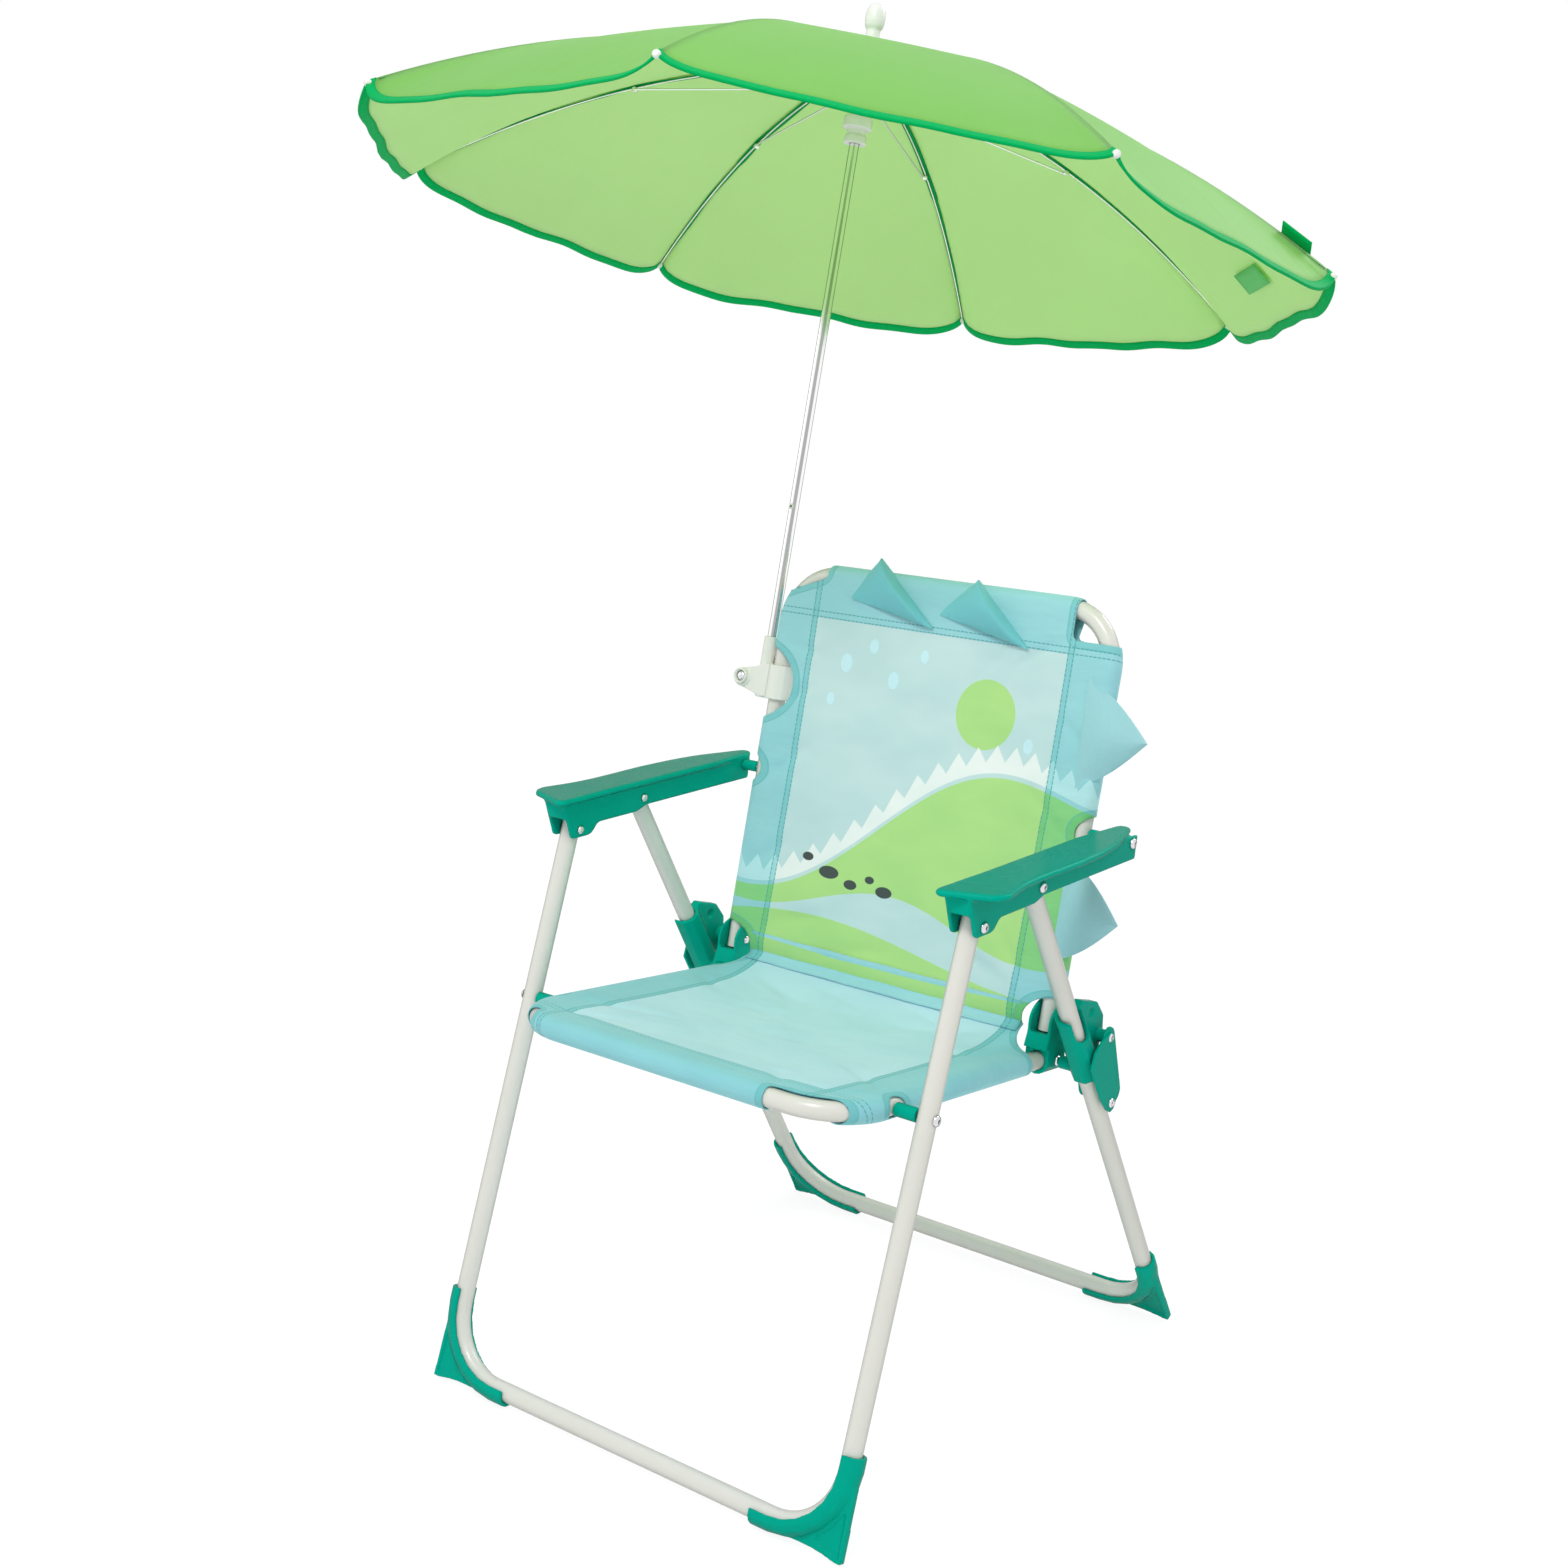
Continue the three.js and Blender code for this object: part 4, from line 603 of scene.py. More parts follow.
def tube(name, line, matrix, outer, inner=0.0, sides=28, material=None):
    """A tube with a real wall, or a rod with domed ends when it has no bore."""
    rows = len(line)
    points = sweep(line, circle(outer, sides))
    faces = wound_faces(rows, sides)
    if inner > 0:
        base = len(points)
        points += sweep(line, circle(inner, sides))
        faces += [(base + b, base + a, base + d, base + c) for a, b, c, d in faces[: (rows - 1) * sides]]
        last = (rows - 1) * sides
        for k in range(sides):
            n = (k + 1) % sides
            faces.append((n, k, base + k, base + n))
            faces.append((last + k, last + n, base + last + n, base + last + k))
    else:
        for row, way in ((0, -1), (rows - 1, 1)):
            centre = line[row] + (line[row] - line[row - way]).normalized() * outer * 0.35
            points.append(centre)
            tip = len(points) - 1
            for k in range(sides):
                a, b = row * sides + k, row * sides + (k + 1) % sides
                faces.append((a, b, tip) if way > 0 else (b, a, tip))
    return make(name, points, faces, matrix, material=material)


print("faces round one step of a tube:", len(wound_faces(2, 28)), "outside and as many inside")


# %% [markdown]
# ## Turned pieces
# Rivets, bolts and the parasol's hub, runner and cap are all round about one axis. A Screw modifier could
# spin their profiles, but rings written by hand lie along any axis, and each corner of a profile can be
# turned into a small arc first.

# %% Turn a profile
def lathe(name, profile, matrix, sides=40, axis="Z", material=None, sharp=30):
    """A turned piece: profile is [along, radius] pairs from end to end."""
    points = []
    for along, radius in profile:
        for k in range(sides):
            a = math.tau * k / sides
            u, v = radius * math.cos(a), radius * math.sin(a)
            points.append({"Z": (u, v, along), "X": (along, u, v), "Y": (v, along, u)}[axis])
    obj = make(name, points, wound_faces(len(profile), sides), matrix, material=material, sharp=180)
    tidy = bmesh.new()
    tidy.from_mesh(obj.data)
    bmesh.ops.remove_doubles(tidy, verts=tidy.verts, dist=1e-7)
    bmesh.ops.recalc_face_normals(tidy, faces=tidy.faces)
    tidy.to_mesh(obj.data)
    tidy.free()
    obj.data.set_sharp_from_angle(angle=math.radians(sharp))
    return obj


def rounded(profile, radius, steps=3):
    """The same profile with each inner corner turned into a small arc."""
    points = [Vector(p) for p in profile]
    out = [points[0]]
    for a, b, c in zip(points, points[1:], points[2:]):
        into, away = a - b, c - b
        if into.length < 1e-6 or away.length < 1e-6:
            continue
        reach = min(radius, into.length * 0.45, away.length * 0.45)
        p, q = b + into.normalized() * reach, b + away.normalized() * reach
        for k in range(steps + 1):
            t = k / steps
            out.append(p * (1 - t) ** 2 + b * 2 * t * (1 - t) + q * t ** 2)
    out.append(points[-1])
    return [tuple(p) for p in out]


print("a square profile, rounded:", len(rounded([(0, 0), (0, 1), (1, 1), (1, 0)], 0.2)), "points")


# %% [markdown] ## How the dressing moves The chair folds, so every finer piece has to ride on the body of
# the plain one that it refines.

# %% Ride and replace
def dress(obj, body, slot, *nodes):
    """Lets a piece ride on its body and stand for the nodes that it refines; slot is not used."""
    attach(obj, body)
    if nodes:
        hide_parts(*nodes)
    return obj


# %% [markdown]
# ## Five bent tubes
# Each leg frame, the seat and the back are one U of tube: two arms and the bar that joins them. Only the
# spread, the two ends and the bend differ, so one helper makes them all.

# %% Tube frames
LEG_BEND, SEAT_BEND, BACK_BEND = 50, 45, 42
SEAT_FRONT, BACK_TOP = 52.5, 303


def u_frame(name, half, end, bar, bend, matrix, body, slot, node, along=(0, 0, 1)):
    """Two arms that start at end and are joined at bar, both measured along one axis."""
    way = Vector(along)
    stops = ((-half, end), (-half, bar), (half, bar), (half, end))
    corners = [Vector((x, 0, 0)) + way * at for x, at in stops]
    piece = tube(name, bent_path(corners, bend), matrix, TUBE_R, BORE_R, material=cream_steel)
    return dress(piece, body, slot, node)


tube_frames = [
    u_frame("front_legs_tube", LEG_HALF, 8.5, -FRONT_LEG, LEG_BEND, FRONT,
            "front_legs", "leg_tube", "front_leg_frame"),
    u_frame("rear_legs_tube", LEG_HALF, 6.3, -REAR_LEG, LEG_BEND, REAR,
            "rear_legs", "leg_tube", "rear_leg_frame"),
    u_frame("seat_tube", SEAT_HALF, SEAT_TUBE, -SEAT_FRONT, SEAT_BEND, SEAT,
            "seat", "frame_tube", "seat_frame", (0, 1, 0)),
    u_frame("back_tube", SEAT_HALF, -7.5, BACK_TOP, BACK_BEND, BACK,
            "back", "frame_tube", "back_frame"),
]
print("tube frames:", [len(piece.data.polygons) for piece in tube_frames])

# %% [markdown]
# ## Moulded pieces
# The armrests, foot covers, collars and connectors come from moulds, so no edge is sharp. Each could be
# bevelled edge by edge. Remeshing a copy of the solid with small voxels and relaxing it rounds every edge
# and every facet at once, the way a mould does. The right seat connector loses the front of its socket
# first, because the white seat tube shows there.

# %% Round the mouldings
BODY_OF = {node: body for body, members in frame["record"]["behaviour"]["bodies"].items() for node in members}
SLOT_OF = {row["node"]: row["material_slot"] for row in frame["record"]["subparts"]}
MOULDINGS = (("armrest", 0.9, 14), ("front_foot", 0.75, 4), ("rear_foot", 0.75, 4), ("leg_collar", 0.7, 4),
             ("collar_link", 0.6, 4), ("seat_connector", 0.65, 4))
BOX_FACES = [(0, 1, 3, 2), (4, 6, 7, 5), (0, 4, 5, 1), (2, 3, 7, 6), (0, 2, 6, 4), (1, 5, 7, 3)]
SEAT_SOCKET = ((130, 175, -12), (170, 190, 9.5))


def moulded(node, voxel, relax, material, cut=None):
    """A rounded copy of a solid, without what lies in cut: the low and high corner of a box on the seat."""
    source = frame["nodes"][node]
    mesh = source.data.copy()
    obj = bpy.data.objects.new(node + "_moulded", mesh)
    scene.collection.objects.link(obj)
    if cut:
        low, high = cut
        corners = [(x, y, z) for x in (low[0], high[0]) for y in (low[1], high[1]) for z in (low[2], high[2])]
        block = make("cut_block", corners, BOX_FACES, SEAT)
        away = obj.modifiers.new("cut", "BOOLEAN")
        away.object, away.solver = block, "EXACT"
    remesh = obj.modifiers.new("voxels", "REMESH")
    remesh.mode = "VOXEL"
    remesh.voxel_size = voxel / 1000
    relaxing = obj.modifiers.new("relax", "SMOOTH")
    relaxing.factor = 0.5
    relaxing.iterations = relax
    bpy.context.view_layer.update()
    shaped = obj.evaluated_get(bpy.context.evaluated_depsgraph_get())
    finished = bpy.data.meshes.new_from_object(shaped)
    obj.modifiers.clear()
    obj.data = finished
    if cut:
        bpy.data.objects.remove(block)
    finished.materials.clear()
    finished.materials.append(material)
    finished.polygons.foreach_set("use_smooth", [True] * len(finished.polygons))
    return dress(obj, BODY_OF[node], SLOT_OF[node], node)


total_faces = 0
for side in ("left", "right"):
    for kind, voxel, relax in MOULDINGS:
        cut = SEAT_SOCKET if (kind, side) == ("seat_connector", "right") else None
        total_faces += len(moulded(f"{kind}_{side}", voxel, relax, green_plastic, cut).data.polygons)
total_faces += len(moulded("clamp_body", 0.55, 5, cream_plastic).data.polygons)
print("moulded faces:", total_faces)

# %% [markdown]
# ## Cheeks, boss and screw head
# The links between collars and connectors show a flat, pear-shaped cheek with a rivet at its foot, and the
# clamp has a round boss in front of its screw. Cutting them into the mouldings would cost many voxels.
# Thin pieces that lie on them stay crisp.

# %% Link cheeks
CHEEK = [(24, -166), (24, -172), (22, -180), (15, -200), (8.5, -217), (6, -222), (1, -225), (-3.5, -224),
         (-6.5, -219), (-9, -206), (-9.4, -190), (-9.4, -172), (0, -164), (12, -163)]
CHEEK_IN, CHEEK_OUT, CHEEK_BEVEL = 12.2, 14.4, 0.5
FOOT_RIVET = [(14, 0), (14, 3.9), (15.3, 3.6), (15.9, 1.9), (15.2, 1.5), (15.2, 0)]


def plate(name, outline, low, high, bevel, matrix, material):
    """A flat plate across X with softened edges, from an outline of (y, z) points."""
    middle = sum((Vector(p) for p in outline), Vector((0, 0))) / len(outline)
    points = []
    for x, inset in ((low, bevel), (low + bevel, 0), (high - bevel, 0), (high, bevel)):
        for p in outline:
            toward = (middle - Vector(p)).normalized() * inset
            points.append((x, p[0] + toward.x, p[1] + toward.y))
    n = len(outline)
    faces = wound_faces(4, n) + [tuple(reversed(range(n))), tuple(range(3 * n, 4 * n))]
    return make(name, points, faces, matrix, material=material)


for side, way in (("left", -1), ("right", 1)):
    mirror = REAR @ Matrix.Translation((way * LEG_HALF, 0, 0)) @ Matrix.Scale(way, 4, (1, 0, 0))
    link = f"collar_link_{side}"
    cheek = plate(f"link_cheek_{side}", CHEEK, CHEEK_IN, CHEEK_OUT, CHEEK_BEVEL, mirror, green_plastic)
    dress(cheek, BODY_OF[link], SLOT_OF[link])
    foot = mirror @ Matrix.Translation((0, 0.6, -218))
    head = lathe(f"link_foot_rivet_{side}", rounded(FOOT_RIVET, 0.5), foot, 24, "X", zinc)
    dress(head, BODY_OF[link], SLOT_OF[f"link_rivet_{side}"])
print("cheek", len(CHEEK), "corners,", CHEEK_OUT - CHEEK_IN, "mm thick")

# %% Clamp boss and screw head
low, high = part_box("clamp_screw")
screw = BACK.inverted() @ ((low + high) / 2)
screw_axis = BACK @ Matrix.Translation((screw.x, 0, screw.z))
boss_profile = rounded([(-7.5, 4.2), (-7.5, 6.6), (-11.2, 6.4), (-11.6, 5.4), (-10.2, 4.2), (-7.5, 4.2)], 0.8)
head_profile = rounded([(-8.6, 0), (-8.6, 4.1), (-9.9, 3.7), (-10.8, 2.2), (-11.0, 0)], 0.5)
boss = lathe("clamp_boss", boss_profile, screw_axis, 36, "Y", cream_plastic)
dress(boss, BODY_OF["clamp_body"], SLOT_OF["clamp_body"])
cover = lathe("clamp_screw_head", head_profile, screw_axis, 36, "Y", zinc)
dress(cover, BODY_OF["clamp_screw"], SLOT_OF["clamp_screw"])
for node in ("clamp_screw", "clamp_nut"):
    mesh = frame["nodes"][node].data
    mesh.materials.clear()
    mesh.materials.append(zinc)
    mesh.polygons.foreach_set("use_smooth", [True] * len(mesh.polygons))
    mesh.set_sharp_from_angle(angle=math.radians(35))
print("clamp screw at", [round(v, 1) for v in screw])

# %% [markdown]
# ## Fasteners and spacers
# Every pivot is a semi-tubular rivet or a bolt with a low domed head. They are small but they catch the
# light, so each gets a turned profile with a real dome and a shallow dimple, on the box of its CAD node.
# The dimple is coloured near-black, as painted shade for a deeper hollow.

# %% Turn the fasteners
def fastener(node):
    low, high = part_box(node)
    low, high = low * 1000, high * 1000
    middle = (low + high) / 2
    outward = 1 if middle.x > MIDDLE_X else -1
    radius = (high.y - low.y) / 2
    start, end = (low.x, high.x) if outward > 0 else (high.x, low.x)
    tail, shank, head = radius * 0.8, 2.0, radius
    profile = [(start, 0), (start, tail * 0.45), (start + outward * 0.5, tail * 0.8),
               (start + outward * 1.4, tail), (start + outward * 1.45, shank),
               (end - outward * 2.25, shank), (end - outward * 2.2, head),
               (end - outward * 1.5, head * 0.98), (end - outward * 0.8, head * 0.86),
               (end - outward * 0.25, head * 0.64), (end, head * 0.46), (end - outward * 0.05, head * 0.38),
               (end - outward * 1.1, head * 0.32), (end - outward * 1.15, 0)]
    place = Matrix.Scale(0.001, 4) @ Matrix.Translation((0, middle.y, middle.z))
    obj = lathe(node + "_turned", profile, place, 28, "X", zinc)
    # Painted shade: the dimple's faces take the near-black finish, as the shade in a deeper hollow would look.
    obj.data.materials.append(bore_painted_shade)
    for face in obj.data.polygons:
        spot = face.center * 1000
        if math.hypot(spot.y - middle.y, spot.z - middle.z) < head * 0.33 and abs(spot.x - end) < 1.5:
            face.material_index = 1
    return dress(obj, BODY_OF[node], SLOT_OF[node], node)


def spacer(node):
    low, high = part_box(node)
    low, high = low * 1000, high * 1000
    middle, radius = (low + high) / 2, (high.y - low.y) / 2
    profile = rounded([(low.x, 2.4), (low.x, radius), (high.x, radius), (high.x, 2.4), (low.x, 2.4)], 0.6)
    place = Matrix.Scale(0.001, 4) @ Matrix.Translation((0, middle.y, middle.z))
    obj = lathe(node + "_turned", profile, place, 28, "X", green_plastic)
    return dress(obj, BODY_OF[node], SLOT_OF[node], node)


fasteners = [fastener(node) for node in list(frame["nodes"]) if "rivet" in node or "bolt" in node]
spacers = [spacer(node) for node in list(frame["nodes"]) if "spacer" in node]
print("fasteners:", len(fasteners), "spacers:", len(spacers))

# %% [markdown]
# ## Cloth cut from a plan
# The sling is flat polyester with wrapped sleeves. It is made the way a sewer makes it: a flat plan with
# cut-outs, then folded round the tubes. Each grid point keeps its place on the plan as a UV, so print,
# weave and stitches lie in the cloth. A cut is a signed distance. Faces inside it are dropped and points
# just inside slide out to its edge, which leaves clean curved edges without booleans.

# %% Cuts
def corner_cut(s0, t0, way_s, way_t, radius):
    """Removes the quadrant beyond (s0, t0), its corner rounded."""
    def distance(s, t):
        a = way_s * (s0 - s) + radius
        b = way_t * (t0 - t) + radius
        outside = np.hypot(np.maximum(a, 0), np.maximum(b, 0)) + np.minimum(np.maximum(a, b), 0)
        return outside - radius
    return distance


def round_cut(s0, t0, rs, rt):
    """Removes an oval round (s0, t0)."""
    def distance(s, t):
        return (np.hypot((s - s0) / rs, (t - t0) / rt) - 1) * min(rs, rt)
    return distance


print("a round cut of 10 mm, 4 mm outside its edge:", round_cut(0, 0, 10, 10)(14.0, 0.0))

# %% Sew a sheet
def cloth(name, s_range, t_range, step, cuts, surface, matrix, thickness, material):
    """A sheet on a grid of plan points, trimmed by its cuts and laid on a surface."""
    ns, nt = (int(round((r[1] - r[0]) / step)) for r in (s_range, t_range))
    t_line, s_line = np.linspace(*t_range, nt + 1), np.linspace(*s_range, ns + 1)
    t_grid, s_grid = np.meshgrid(t_line, s_line, indexing="ij")
    s, t = s_grid.ravel().copy(), t_grid.ravel().copy()

    def edge(a, b):
        return np.min([cut(a, b) for cut in cuts], axis=0) if cuts else np.full_like(a, 1e3)

    inside = edge(s, t) < -1e-6
    for _ in range(6):
        gap = edge(s, t)
        ds = (edge(s + 0.05, t) - edge(s - 0.05, t)) / 0.1
        dt = (edge(s, t + 0.05) - edge(s, t - 0.05)) / 0.1
        norm = np.maximum(ds ** 2 + dt ** 2, 1e-6)
        move = np.where(gap < 0, -gap, 0)
        s, t = s + move * ds / norm, t + move * dt / norm
    points = surface(s, t)
    hem = np.maximum(edge(s, t), 0) / 1000
    faces = [quad for quad in grid_faces(nt, ns) if not all(inside[k] for k in quad)]
    plan = np.stack([s, t], 1) / 1000
    obj = make(name, [tuple(p) for p in points], faces, matrix, plan, material, sharp=180)
    obj.data.attributes.new("hem", "FLOAT", "POINT").data.foreach_set("value", hem.astype(np.float32))
    clean = bmesh.new()
    clean.from_mesh(obj.data)
    bmesh.ops.delete(clean, geom=[v for v in clean.verts if not v.link_faces], context="VERTS")
    bmesh.ops.dissolve_degenerate(clean, dist=1e-6, edges=clean.edges)
    flat = sum(f.calc_area() for f in clean.faces)
    clean.to_mesh(obj.data)
    clean.free()
    obj["flat_area"] = flat
    thicken(obj, thickness)
    return obj


print("a sheet keeps its plan as a UV, and the way to its nearest cut as an attribute")


# %% Thickness and creases
def thicken(obj, thickness, offset=-1.0, inside=0):
    """Gives a sheet its thickness; inside says how many slots further its inner face's material is."""
    solid = obj.modifiers.new("thickness", "SOLIDIFY")
    solid.thickness = thickness / 1000
    solid.offset = offset
    solid.material_offset = inside
    solid.use_even_offset = False
    bpy.context.view_layer.update()
    shaped = obj.evaluated_get(bpy.context.evaluated_depsgraph_get())
    finished = bpy.data.meshes.new_from_object(shaped)
    obj.modifiers.clear()
    obj.data = finished
    return obj


def fold_line(s, t, start, end, width, depth):
    """A soft crease from start to end, deepest in its middle."""
    start, end = np.array(start, float), np.array(end, float)
    run = end - start
    along = ((s - start[0]) * run[0] + (t - start[1]) * run[1]) / (run @ run)
    off = ((s - start[0]) * -run[1] + (t - start[1]) * run[0]) / np.linalg.norm(run)
    fade = np.clip(along, 0, 1) * np.clip(1 - along, 0, 1) * 4
    return -depth * fade * np.exp(-(off / width) ** 2)


print("a 2 mm crease, 3 mm off its middle:", round(float(fold_line(10, 3, (0, 0), (20, 0), 5, 2)), 2), "mm")

# %% [markdown]
# ## Stitches and colours
# Every seam of the sling is a twin row of short stitches. They could be tiny meshes, thousands of them.
# A group that turns a distance from the seam into two rows of dashes does it for seat, back and hems.

# %% Stitch group
ROW_GAP = 0.0045
stitch, stitch_in, stitch_out = new_group(
    "stitch_rows", [("Offset", "NodeSocketFloat", None), ("Along", "NodeSocketFloat", None)],
    [("Mask", "NodeSocketFloat")])
g = Graph(stitch)
dash = g.rise(g.math("PINGPONG", stitch_in.outputs["Along"], 0.0019), 0.00035, 0.0006)
off_row = stitch_in.outputs["Offset"]
row_a = g.fall(g.math("ABSOLUTE", off_row), 0.0003, 0.0006)
row_b = g.fall(g.math("ABSOLUTE", g.minus(off_row, ROW_GAP)), 0.0003, 0.0006)
g.link(g.times(dash, g.most(row_a, row_b)), stitch_out.inputs["Mask"])
print("stitch nodes:", len(stitch.nodes))

# %% Sling colours
# Seat and back are one cloth; their two aquas differ as painted light, copying how light falls on each.
SEAT_AQUA, BACK_AQUA = (0.50, 0.76, 0.83), (0.56, 0.74, 0.74)
# The top and side fins are one cloth; the top fins' darker aqua is painted shade.
FIN_SHADED, FIN_PALE = (0.16, 0.52, 0.56), (0.32, 0.60, 0.64)
LIME = (0.44, 0.73, 0.245)
PALE = (0.60, 0.84, 0.90)
WHITE = (0.86, 0.90, 0.87)
SLATE = (0.055, 0.075, 0.07)
THREAD = (0.05, 0.33, 0.36, 1)
RIM_LINE = (0.10, 0.45, 0.46, 1)
TRIPLE_TINT, DRAPE_SHADE_TINT, WEAVE_TINT = (0.68, 0.88, 0.86), (0.90, 0.955, 0.96), (0.92, 0.97, 0.97)
SEAM_AT = 0.115
ROW_AT = SEAM_AT + 0.001
print("seams at", SEAM_AT * 1000, "mm from the middle")

# %% [markdown]
# ## The printed landscape
# The back is screen-printed in flat colours: a disc, two lime hills with a white zigzag ridge along one,
# and a few drops and pebbles. An image could be painted, but here each shape is a formula on the plan, so
# its edges stay sharp close up. Every shape is a mask, and the later ones lie on top.

# %% Print
SPOTS = [((-0.082, 0.236), (0.0055, 0.0075), PALE), ((-0.058, 0.252), (0.0042, 0.0058), PALE),
         ((-0.036, 0.228), (0.0050, 0.0068), PALE), ((-0.092, 0.206), (0.0036, 0.0050), PALE),
         ((-0.010, 0.250), (0.0038, 0.0052), PALE), ((0.094, 0.196), (0.0042, 0.0058), PALE),
         ((-0.066, 0.070), (0.0095, 0.0050), SLATE), ((-0.044, 0.064), (0.0062, 0.0038), SLATE),
         ((-0.027, 0.071), (0.0044, 0.0030), SLATE), ((-0.088, 0.079), (0.0052, 0.0034), SLATE),
         ((-0.012, 0.064), (0.0078, 0.0044), SLATE)]
DISC_AT = (0.052, 0.214)
PRINT_EDGE, RIDGE_EDGE = 0.0006, 0.0005


def wave_line(graph, u, pitch, phase, depth):
    """The height of a long wave across the print."""
    return graph.times(graph.math("SINE", graph.math("MULTIPLY_ADD", u, pitch, phase)), depth)


def distance_2d(graph, x, y):
    return graph.math("SQRT", graph.plus(graph.math("POWER", x, 2.0), graph.math("POWER", y, 2.0)))


def landscape(graph, u, v, ground):
    """Hills, a zigzag ridge, a disc, drops and pebbles, in flat screen-print colours."""
    # The long hill, between its crest and its foot
    slope = graph.plus(wave_line(graph, u, 19.0, 0.6, 0.030), 0.118)
    hill_line = graph.plus(slope, graph.times(u, 0.32))
    below = graph.fall(graph.minus(v, hill_line), -PRINT_EDGE, PRINT_EDGE)
    foot_line = graph.plus(wave_line(graph, u, -24.0, 1.4, 0.014), 0.048)
    above = graph.rise(graph.minus(v, foot_line), -PRINT_EDGE, PRINT_EDGE)
    colour = graph.mix(graph.times(below, above), ground, (*LIME, 1))
    # The near hill
    low_wave = graph.math("SINE", graph.math("MULTIPLY_ADD", u, 15.0, 2.6))
    low_line = graph.math("MULTIPLY_ADD", low_wave, 0.012, 0.022)
    low_hill = graph.fall(graph.minus(v, low_line), -PRINT_EDGE, PRINT_EDGE)
    colour = graph.mix(low_hill, colour, (*LIME, 1))
    # The disc
    disc = distance_2d(graph, graph.minus(u, DISC_AT[0]), graph.minus(v, DISC_AT[1]))
    colour = graph.mix(graph.fall(disc, 0.0262, 0.0274), colour, (*LIME, 1))
    # The zigzag ridge on the long hill
    saw = graph.math("PINGPONG", graph.plus(u, 0.4), 0.0085)
    ridge = graph.plus(graph.plus(hill_line, 0.012), graph.times(saw, 1.5))
    over_hill = graph.rise(graph.minus(v, graph.plus(hill_line, 0.0035)), -RIDGE_EDGE, RIDGE_EDGE)
    under_ridge = graph.fall(graph.minus(v, ridge), -RIDGE_EDGE, RIDGE_EDGE)
    colour = graph.mix(graph.times(over_hill, under_ridge), colour, (*WHITE, 1))
    for at, size, ink in SPOTS:
        du = graph.math("DIVIDE", graph.minus(u, at[0]), size[0])
        dv = graph.math("DIVIDE", graph.minus(v, at[1]), size[1])
        colour = graph.mix(graph.fall(distance_2d(graph, du, dv), 0.93, 1.05), colour, (*ink, 1))
    return colour


print("drops and pebbles:", len(SPOTS))

# %% [markdown]
# ## Sling cloth
# Where the cloth is folded back on itself, round a tube and in to the stitching, two layers show as a
# deeper aqua, and in the narrow fold between the stitch rows there are three. The material reads all that
# from the plan, so no seam has to be modelled twice. Slow noise gives the drape its light and shade, and a
# finer one puckers the sleeves.

# %% Layers of the sling
def layer_masks(graph, side, v, hem_low, hem_high):
    """Where the cloth lies double, where it lies three deep, and the line that a cut edge draws."""
    double = graph.rise(side, SEAM_AT, SEAM_AT + 0.0012)
    if hem_low is not None:
        double = graph.most(double, graph.fall(v, hem_low - 0.001, hem_low))
    if hem_high is not None:
        double = graph.most(double, graph.rise(v, hem_high, hem_high + 0.001))
    near = graph.tree.nodes.new("ShaderNodeAttribute")
    near.attribute_name = "hem"
    rim = graph.fall(near.outputs["Fac"], 0.0052, 0.0060)
    rim_line = graph.times(rim, graph.rise(near.outputs["Fac"], 0.0042, 0.0050))
    inner = graph.minus(side, ROW_AT)
    channel = graph.times(graph.rise(inner, -0.0002, 0.0004), graph.fall(inner, 0.0048, 0.0054))
    return double, graph.most(rim, graph.times(channel, 0.7)), rim_line


def stitch_mask(graph, side, u, v, hem_low, hem_high):
    """The twin rows along both sleeves and along the hems that are named."""
    mask = add_group(graph, stitch, Offset=graph.minus(side, ROW_AT), Along=v).outputs["Mask"]
    for level in (hem_low, hem_high):
        if level is not None:
            offset = graph.minus(level, v) if level is hem_low else graph.minus(v, level)
            cross = add_group(graph, stitch, Offset=graph.minus(offset, 0.001), Along=u)
            mask = graph.most(mask, cross.outputs["Mask"])
    return mask


print("stitch rows at", ROW_AT * 1000, "and", round((ROW_AT + ROW_GAP) * 1000, 1), "mm from the middle")


